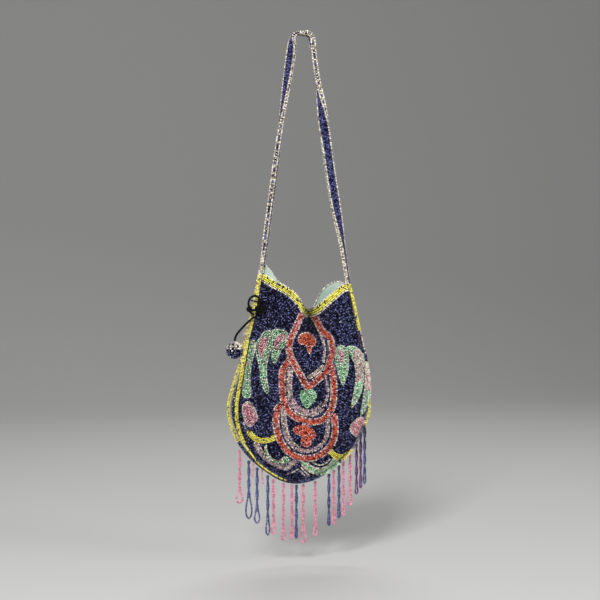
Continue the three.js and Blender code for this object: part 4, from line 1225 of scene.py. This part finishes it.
def from_sheet(s, t):
    """Places (x, z) on the front that are seen at (s, t)."""
    x, z = (s - SHEET / 2) * SHEET_MM + VIEW_TARGET[0], VIEW_TARGET[2] - (t - SHEET / 2) * SHEET_MM
    pull = SHEET_PULL * SHEET_MM
    for _ in range(SHEET_TRIES):
        seen_s, seen_t = on_sheet(np.stack([x, front.height(x, z), z], axis=1))
        x, z = x + pull * (s - seen_s), z - pull * (t - seen_t)
    return x, z


band_beads = []
for number, shape in enumerate(shapes):
    if shape is None or shape[1][0] != "band":
        continue
    _, rows, points = shape[1]
    middle = smooth_line(points)
    along = directions(middle)
    away = np.stack([-along[:, 1], along[:, 0]], axis=1)
    for k, mix in enumerate(rows):
        drawn = middle + away * ((len(rows) - 1) / 2 - k) * BAND_ROW / SHEET_MM
        x, z = from_sheet(drawn[:, 0], drawn[:, 1])
        row = steps_along(np.stack([x, front.height(x, z), z], axis=1), spacing=STEP)
        thread = directions(row)
        if shape[0] in LAID_ACROSS:
            thread = np.cross(thread, (0, 1, 0))
        own = label_at(row[:, 0], row[:, 2]) == number
        band_beads.append((mix, row[own], thread[own]))
banded = np.array([shape is not None and shape[1][0] == "band" for shape in shapes])
free = ~banded[label_at(front_rows[:, 0], front_rows[:, 2])]
taken = np.vstack([front_rows[free, :3]] + [row for _, row, _ in band_beads])
print("beads in bands:", sum(len(row) for _, row, _ in band_beads))

# %% Sew the front
FILLER = 99  # row number of the beads that fill gaps
FIELD_BEAD = 1.55
PATTERN_DEPTH = 0.45
# The painted highlight and shade of the rows is weaker on the pattern than on the navy ground.
PATTERN_STREAK = 0.3
FRONT_SPLIT = -352  # the navy ground is made in an upper and a lower piece
WITHOUT_NUMBER = (0, 1, 2, 3, 4, 5, 7)


def mix_of(shape, row_number):
    """Mix of a bead by its shape and row, or None where the rows of a band are drawn already."""
    if shape is None:
        return "navy"
    if shape[1][0] == "band":
        rows = shape[1][1]
        return rows[len(rows) // 2] if row_number == FILLER else None
    _, edge, fill = shape[1]
    return edge if row_number == 0 else fill


added = fill_gaps(front_height, labels, taken)
added_rows = np.hstack([added, rng.normal(0, 1, added.shape), np.full((len(added), 1), FILLER),
                        np.zeros((len(added), 1))])
all_rows = np.vstack([front_rows, added_rows])
mixes = [None if number == OUTSIDE else mix_of(shapes[number], spot[6])
         for spot, number in zip(all_rows, label_at(all_rows[:, 0], all_rows[:, 2]))]
mixes = np.array(["" if mix is None else mix for mix in mixes])
by_mix = [(mix, all_rows[mixes == mix][:, WITHOUT_NUMBER], FIELD_BEAD) for mix in np.unique(mixes) if mix]
by_mix += [(mix, np.hstack([row, thread, np.zeros((len(row), 1))]), BAND_ROW)
           for mix, row, thread in band_beads]
for mix, spots, width in by_mix:
    colours = pick(mix, len(spots))
    for colour in np.unique(colours[colours != ""]):
        chosen = spots[colours == colour]
        depth = BEAD_DEPTH if mix == "navy" else PATTERN_DEPTH
        centres, out = front.place(chosen[:, 0], chosen[:, 2], -depth)
        upper = chosen[:, 2] > FRONT_SPLIT
        groups = [("front_pattern", np.ones(len(chosen), bool))]
        if colour == "navy":
            groups = [("front_upper", upper), ("front_lower", ~upper)]
        for piece, part in groups:
            streak = chosen[part, 6] * (1 if colour == "navy" else PATTERN_STREAK)
            sew(piece, str(colour), centres[part], unit(chosen[part, 3:6]), out[part], width, streak=streak)
for piece, colour in heaps:
    if piece.startswith("front_"):
        print(piece, colour, sum(len(part[0]) for part in heaps[piece, colour]))

# %% [markdown]
# ## The edges
# The seam of each panel is bound by a roll of bead rows, yellow on the sides. On the lower right the
# belly hides most of the roll, and the pattern runs on over it, so its beads take their colours from the
# sheet there. Between the two rolls lies the dark strip of the seam with a few pale beads. At two places
# rows have worked loose beside a roll.

# %% Rows round the edges
EDGE_BEAD, EDGE_LENGTH = 1.6, 1.3
EDGE_ROWS, EDGE_START_TURN = 5, 0.3
SEAM_SHARES = np.linspace(0.01, 0.99, 700)
BAG_MIDDLE = np.array([0, 0, -370.0])
STRIP_BEAD, STRIP_STEP, STRIP_OUT, STRIP_KEPT, STRIP_PALE = 1.5, 1.6, 0.8, 0.8, 0.1


def sew_mixes(piece, mixes, centres, along, out, *size):
    """Sews beads whose colours are drawn from the mix that is named for each of them."""
    along, out = np.broadcast_to(along, centres.shape), np.broadcast_to(out, centres.shape)
    for mix in np.unique(mixes.astype(str)):
        own = np.flatnonzero(mixes == mix)
        colours = pick(mix, len(own))
        for colour in np.unique(colours[colours != ""]):
            chosen = own[colours == colour]
            sew(piece, str(colour), centres[chosen], along[chosen], out[chosen], *size)


def mix_at(s, t):
    """Mix of the pattern at places of the sheet, for beads that lie beside the panel."""
    found = np.full(s.shape, "navy", dtype=object)
    for _, _, fill, points in PATCHES:
        found[inside_ring(smooth_ring(points), s, t)] = fill
    for _, rows, points in BANDS:
        half = len(rows) * BAND_ROW / 2 / SHEET_MM
        found[line_distance(smooth_line(points), s, t) < half] = rows[len(rows) // 2]
    return found


def edge_mixes(label, spots, row):
    """Mix of each bead of a row of the edging, by its place on the seam in mm."""
    x, z = spots[:, 0], spots[:, 2]
    mixes = np.full(len(spots), "sun", dtype=object)
    low_left = (z < -428) & (x < -18)
    if label == "front":
        beside = (z < -326) & (x > -18)
        mixes[beside] = mix_at(*on_sheet(spots[beside]))
        if row in (0, 1, 4):
            mixes[(x > 20) & (z < -387) & (z > -414)] = "sun"
        if row in (0, 1):
            mixes[(x < 0) & (z < -293) & (z > -345)] = "faded"
        mixes[(x > 20) & (z < -312) & (z > -337)] = "hem" if row in (0, 1, 4) else "navy"
        if row not in (0, 4):
            mixes[low_left] = "navy"
    else:
        mixes[z < -428] = "navy"
        mixes[(x < 0) & (z > -254)] = "cream"
        mixes[(x < 0) & (z <= -254) & (z > -345)] = "faded"
    return mixes


for label, side in (("front", front), ("back", back)):
    shares = np.linspace(0.002, 0.998, 700)
    middle, away = side.rim(shares, EDGING_OUT)
    line = steps_along(np.hstack([middle, away]), spacing=STEP)
    middle, away = line[:, :3], unit(line[:, 3:])
    along = directions(middle)
    sideways = np.cross(along, away)
    turns = np.linspace(0, 2 * np.pi, EDGE_ROWS, endpoint=False) + EDGE_START_TURN
    for number, turn in enumerate(turns):
        out = away * np.cos(turn) + sideways * np.sin(turn)
        centres = middle + out * (EDGING_RADIUS - EDGE_BEAD / 2)
        mixes = edge_mixes(label, middle, number)
        sew_mixes(label + "_edging", mixes, centres, along, out, EDGE_BEAD, EDGE_LENGTH)
seam_row = steps_along(front.rim(SEAM_SHARES, 0.3)[0], spacing=STEP)
mixes = edge_mixes("front", seam_row, None)
mixes[mixes == "sun"] = "navy"
sew_mixes("front_edging", mixes, seam_row, directions(seam_row), (0, -1, 0))


def loose_rows(side, low, high, hand, steps, mix, y):
    """Rows that have worked loose beside a roll, between two heights on one hand of the bag."""
    line, away = side.rim(SEAM_SHARES, EDGING_OUT)
    own = (line[:, 2] > low) & (line[:, 2] < high) & (line[:, 0] * hand > 0)
    line, away = line[own], away[own]
    window = np.sin(np.pi * (line[:, 2] - low) / (high - low))[:, None] ** 0.5
    for step in steps:
        row = steps_along(line + away * step * window + (0, y, 0), spacing=STEP)
        mixes = np.full(len(row), mix)
        sew_mixes("gusset", mixes, row, directions(row), (hand, 0, 0), EDGE_BEAD, EDGE_LENGTH)


loose_rows(front, low=-348, high=-294, hand=-1, steps=(1.4, 2.9, 4.4), mix="faded", y=3.2)
loose_rows(front, low=-416, high=-386, hand=1, steps=(1.6, 3.0), mix="sun", y=0.6)
for across in np.linspace(0.15, 0.85, 5):
    line = steps_along(front_edge + (back_edge - front_edge) * across, spacing=STRIP_STEP)
    out = unit((line - BAG_MIDDLE) * (1, 0, 1))
    kept = rng.random(len(line)) < STRIP_KEPT
    pale = rng.random(len(line)) < STRIP_PALE
    for colour, chosen in (("cream", kept & pale), ("navy", kept & ~pale)):
        sew("gusset", colour, (line + out * STRIP_OUT)[chosen], directions(line)[chosen], out[chosen],
            STRIP_BEAD, EDGE_LENGTH)
print("edging colours:", sorted({colour for piece, colour in heaps if "edging" in piece}))

# %% [markdown]
# ## The back
# The back has no pattern that could be seen, so it is sewn with plain navy rows that follow its border,
# the way the ground of the front does.

# %% Sew the back
back_height, back_ground = panel_field(back)
back_labels = np.where(back_ground, GROUND, OUTSIDE)
back_distance = border_distance(back_height, back_labels)
back_rows = contour_rows(back_height, back_distance)
back_added = fill_gaps(back_height, back_labels, back_rows[:, :3], closest=1.5)
filler_rows = np.hstack([back_added, rng.normal(0, 1, back_added.shape), np.zeros((len(back_added), 1))])
back_all = np.vstack([back_rows[:, WITHOUT_NUMBER], filler_rows])
for name, low, high in (("back_upper", -352, 0), ("back_middle", -412, -352), ("back_lower", -900, -412)):
    chosen = back_all[(back_all[:, 2] > low) & (back_all[:, 2] <= high)]
    centres, out = back.place(chosen[:, 0], chosen[:, 2], -BEAD_DEPTH)
    # The streak carries the painted highlight and shade of the rows.
    sew(name, "navy", centres, unit(chosen[:, 3:6]), out, FIELD_BEAD, streak=chosen[:, 6])
print("beads on the back:", len(back_all))

# %% [markdown]
# ## The strap
# The strap is a flat band of two layers of bead cloth, navy with a cream row along both edges of each
# layer. It turns as it falls: the left leg shows mostly its edge, and the right leg shows its face at
# half height. The rows run side by side along a line from one corner of the back over the top to the
# other corner.

# %% Line of the strap
STRAP_FLAT, STRAP_BEND, STRAP_SEAT, STRAP_THICKNESS = 9, 4, 1.2, 4.2
LEFT_TURN = through([(0, 0), (0.05, -35), (0.15, -32), (0.25, -15), (0.38, 8), (0.5, 20), (1, 24)])
RIGHT_TURN = through([(0, 0), (0.06, 14), (0.17, 16), (0.24, 35), (0.34, 66), (0.45, 82), (0.62, 82),
                      (0.72, 66), (0.8, 44), (0.87, 32), (1, 28)])
RIGHT_FACE = through([(0, 0), (0.06, 14), (0.17, 16), (0.24, -6), (0.31, -42), (0.38, -78), (0.45, -98),
                      (0.62, -98), (0.72, -114), (0.8, -136), (0.87, -148), (1, -152)])


def strap_leg(hand, end, turn_at, face_at):
    """Stations x, z, turn of the band's middle and turn of its face of one half, from the top to its end."""
    corner = np.array([hand * STRAP_FLAT / 2, -STRAP_BEND])
    lean = math.atan2(abs(end[0] - corner[0]) - STRAP_BEND, corner[1] - end[1])
    angle = np.linspace(0, np.pi / 2 - lean, 8)
    bend = corner + STRAP_BEND * np.stack([hand * np.sin(angle), np.cos(angle)], axis=1)
    t = np.linspace(0, 1, 200)[1:]
    leg = bend[-1] + (end - bend[-1]) * t[:, None]
    stations = np.hstack([bend, np.zeros((len(bend), 2))])
    return np.vstack([[0, 0, 0, 0], stations, np.hstack([leg, turn_at(t)[:, None], face_at(t)[:, None]])])


def across_strap(degrees):
    """Direction across the band at each station for its turns in degrees."""
    turn = np.radians(degrees)
    across = np.stack([np.sin(turn), np.cos(turn), 0 * turn], axis=1)
    return unit(across - (across * strap_run).sum(1)[:, None] * strap_run)


left_end, right_end = back.at_run(0) + (0, STRAP_SEAT), back.at_run(back.run[-1]) + (0, STRAP_SEAT)
stations = np.vstack([strap_leg(-1, left_end, LEFT_TURN, LEFT_TURN)[:0:-1],
                      strap_leg(1, right_end, RIGHT_TURN, RIGHT_FACE)])
TURN_SCALE = np.array([1, 1, 0.02, 0.01])
stations = steps_along(stations * TURN_SCALE, spacing=STEP) / TURN_SCALE
strap_line = np.stack([stations[:, 0], 0 * stations[:, 0], stations[:, 1]], axis=1)
strap_run = directions(strap_line)
strap_spot = strap_line + np.cross(strap_run, across_strap(stations[:, 2])) * STRAP_THICKNESS / 2
across = across_strap(stations[:, 3])
strap_out = np.cross(strap_run, across)
print("strap stations:", len(strap_spot))

# %% Rows of the strap
STRAP_ROW = 1.55
FACE_EDGE_BEAD, SIDE_EDGE_BEAD = (1.85, 1.4), (1.75, 1.35)  # width and length
PALE_AT_ENDS, PALE_BETWEEN = 0.95, 0.45  # share of cream beads along the sides
LAYER_OUT, LAYER_LOOSE = 1.2, 0.7
FACE_EDGE, SIDE_EDGE, CORE_EDGE = 4.8, 4.9, 5.05  # from the middle of the band
CORE_THICKNESS = 1.2
level = stations[:, 1]
# The layers stand further apart between -80 and -238 mm on the left, and above -95 mm on the right.
left_loose = np.where(stations[:, 0] < 0, smoothstep(level, -80, -110) * smoothstep(level, -238, -215), 0)
right_loose = np.where(stations[:, 0] > 0, smoothstep(level, -95, -60), 0)
loose = np.maximum(left_loose, right_loose) * LAYER_LOOSE
for facing in (-1, 1):
    layer = strap_out * (facing * (LAYER_OUT + loose))[:, None]
    for row in (-2, -1, 0, 1, 2):
        centres = strap_spot + across * row * STRAP_ROW + layer
        sew("strap", "strap_navy", centres, strap_run, strap_out * facing, STRAP_ROW)
    for hand in (-1, 1):
        centres = strap_spot + across * hand * FACE_EDGE + layer
        sew("strap", "cream", centres, strap_run, strap_out * facing, *FACE_EDGE_BEAD)
ends = (level < -232) | ((stations[:, 0] > 0) & (level < -188))
for hand in (-1, 1):
    pale = rng.random(len(strap_spot)) < np.where(ends, PALE_AT_ENDS, PALE_BETWEEN)
    for colour, chosen in (("cream", pale), ("strap_navy", ~pale)):
        centres = strap_spot + across * hand * SIDE_EDGE
        sew("strap", colour, centres[chosen], strap_run[chosen], across[chosen] * hand, *SIDE_EDGE_BEAD)
strap_core = np.stack([strap_spot + across * share * CORE_EDGE for share in (-1, -0.33, 0.33, 1)], axis=0)
cloths["strap_core"] = cloth_sheet("strap_core", strap_core, CORE_THICKNESS, ground_cloth)
print("strap heaps:", sorted(key for key in heaps if key[0] == "strap"))

# %% [markdown]
# ## The fringe
# Each string of the fringe is one thread of beads, doubled and twisted on itself, with a small open loop
# left at the lower end. It hangs from a stitch below the edge of the back and swings by itself, so each
# string is its own piece. Some strings have been lost over the years, and two are broken off short. The
# gaps stay.

# %% Strings of the fringe
# Place across the half width, length, loop width, loop length and colour of each string.
STRINGS = [
    (-0.91, 58, 8.5, 13, "string_pink"), (-0.777, 63, 8, 24, "string_navy"),
    (-0.657, 60.5, 7, 15, "string_navy"), (-0.5, 65, 5.5, 16, "string_navy"),
    (-0.418, 61, 5, 14, "string_pink"), (-0.27, 62, 6, 10, "string_pink"),
    (-0.143, 59.5, 4, 9, "string_pink"), (-0.075, 59, 3.6, 8, "string_navy"),
    (0.03, 64, 8, 15, "string_pink"), (0.21, 60, 5.6, 10, "string_pink"),
    (0.418, 57, 4, 8, "string_navy"), (0.492, 60, 5, 10, "string_pink"),
    (0.574, 58, 4.2, 11, "string_navy"), (0.642, 60, 4, 9, "string_pink"),
    (0.747, 56, 6, 15, "string_pink"), (0.85, 56, 4.4, 9, "string_purple"),
    (0.918, 60, 3.8, 8, "string_purple"), (0.985, 69, 4, 12, "string_navy")]
STRING_RADIUS, TWIST_RADIUS, TWIST_LENGTH, SLAB_GAP = 0.85, 0.95, 30, 0.5
EDGING_REACH, FRINGE_GAP = EDGING_OUT + EDGING_RADIUS, 0.3
STRAND_STEP, STRAND_START = 1.46, 1.3
STITCH_DROP, STUB_STEP = 0.65, 1.5
STRAND_BEAD, STITCH_BEAD, STUB_BEAD = (2.0, 1.56), (1.25, 1.3), (1.9, 1.5)  # width and length
STUBS = ((-0.712, -1), (-0.585, 1))  # place across the bag, and lean in mm


def stitch(x, half):
    """Spot just below the edging of the back at a place across the bag."""
    shares = np.linspace(0.3, 0.75, 900)
    away = back.rim(shares, 0)[1]
    spots = back.rim(shares, EDGING_REACH + FRINGE_GAP + half * np.abs(away[:, 0]))[0]
    return np.array([np.interp(x, spots[:, 0], spots[:, k]) for k in range(3)])


def twisted_string(top, length, loop_width, loop_length):
    """Line of a doubled string: down one side of the twist, round the loop and up the other side."""
    twisted = length - loop_length
    half_turns = max(round(2 * twisted / TWIST_LENGTH), 1)
    t = np.linspace(0, 1, 8 * half_turns + 1)

    def strand(start):
        angle = start + np.pi * half_turns * t
        x, y = TWIST_RADIUS * np.cos(angle), TWIST_RADIUS * np.sin(angle)
        return top + np.stack([x, y, -twisted * t], axis=1)

    down, up = strand(0), strand(np.pi)[::-1]
    reach = math.copysign(loop_width / 2 - STRING_RADIUS, down[-1][0] - top[0])
    tip = loop_length - STRING_RADIUS
    loop = [top + (side * reach, 0, -twisted - depth * tip) for side, depth in
            ((1, 0.55), (0.75, 0.88), (0, 1), (-0.75, 0.88), (-1, 0.55))]
    return np.vstack([down, loop, up])


tops = [stitch(at * HALF_WIDTH, TWIST_RADIUS + STRING_RADIUS / 2) for at, *_ in STRINGS]
for number, ((_, length, loop_width, loop_length, colour), top) in enumerate(zip(STRINGS, tops)):
    room = min(abs(top[0] - other[0]) for other in tops if other is not top) - SLAB_GAP
    line = twisted_string(top, length, min(loop_width, room), loop_length)
    row = steps_along(smooth_line(line, per_span=6), spacing=STRAND_STEP)
    string = "string_%02d" % (number + 1)
    below = row[:, 2] < top[2] - STRAND_START
    sew(string, colour, row[below], directions(row)[below], (0, -1, 0), *STRAND_BEAD)
    sew(string, colour, top - (0, 0, STITCH_DROP), (0, 0, 1), (0, -1, 0), *STITCH_BEAD)
for at, lean in STUBS:
    top = stitch(at * HALF_WIDTH, STRING_RADIUS / 2)
    stub = smooth_line([top, top + (lean * 0.3, 0, -7), top + (lean, 0, -14)])
    row = steps_along(stub, spacing=STUB_STEP)
    sew("stubs", "string_pink", row, directions(row), (0, -1, 0), *STUB_BEAD)
print("strings:", len(tops), "first top", [round(float(v), 1) for v in tops[0]])

# %% [markdown]
# ## Putting the pieces in place
# Every heap of beads becomes a mesh. Strings ride on their own bodies and everything else rides on the
# bag. A piece that stands for solids names them, so that those aren't shown twice.

# %% Make the meshes
REPLACED = {
    ("front_mouth", "yellow"): ["mouth_band_front"], ("back_mouth", "yellow"): ["mouth_band_back"],
    ("front_piping", "cream"): ["mouth_piping_front"], ("back_piping", "cream"): ["mouth_piping_back"],
    ("front_edging", "yellow"): ["edging_front"], ("back_edging", "yellow"): ["edging_back"],
    ("front_pattern", "red"): ["oval_top", "oval_middle", "oval_low", "flower_top", "flower_low"],
    ("front_pattern", "lilac"): ["inner_ring_middle", "inner_ring_low"],
    ("front_pattern", "green"): [
        "shield_middle", "plume_left_1", "plume_left_2", "plume_left_3", "plume_right_1", "plume_right_2",
        "plume_right_3", "scallop_green_left", "scallop_green_right"],
    ("front_pattern", "pink"): ["bud_left", "bud_right"],
    ("front_pattern", "yellow"): ["scallop_yellow_left", "scallop_yellow_right"],
    ("strap", "strap_navy"): ["strap_band"], ("strap", "cream"): ["strap_edge_front", "strap_edge_back"],
    ("ball", "cream"): ["pendant_ball"], ("stubs", "string_pink"): ["fringe_stub_1", "fringe_stub_2"],
}
made = {}
for piece, colour in sorted(heaps):
    body, replaced = "bag", REPLACED.get((piece, colour), [])
    if piece.startswith("string_"):
        body = "fringe_" + piece[-2:]
        replaced = [body]
    made[piece, colour] = make_heap(piece, colour, body, replaced)
bead_count = sum(len(piece.data.polygons) for piece in made.values()) // len(bead_faces)
print("bead pieces:", len(made), "beads:", bead_count)

# %% Cloth and cord in place
bpy.ops.object.select_all(action="DESELECT")
for tied in (cord_loop, cord_knot):
    tied.select_set(True)
    bpy.context.view_layer.objects.active = tied
bpy.ops.object.convert(target="MESH")
CLOTHS = {"front_cloth": ("dark_cloth", "front_panel"), "back_cloth": ("dark_cloth", "back_panel"),
          "front_satin": ("satin", "lining_front"), "back_satin": ("satin", "lining_back"),
          "gusset_cloth": ("dark_cloth", "seam_gusset"), "strap_core": ("dark_cloth", "strap_band")}
placed = [(cloths[name][0], *facts) for name, facts in CLOTHS.items()]
placed += [(hanging_cord, "black_cord", "pendant_cord"), (cord_loop, "black_cord", "cord_loop"),
           (cord_knot, "black_cord", "cord_knot"), (ball_core, "dark_cloth", "pendant_ball")]
for piece, slot, node in placed:
    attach(piece, "bag")
    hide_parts(node)
print("cloth and cord ride on the bag")
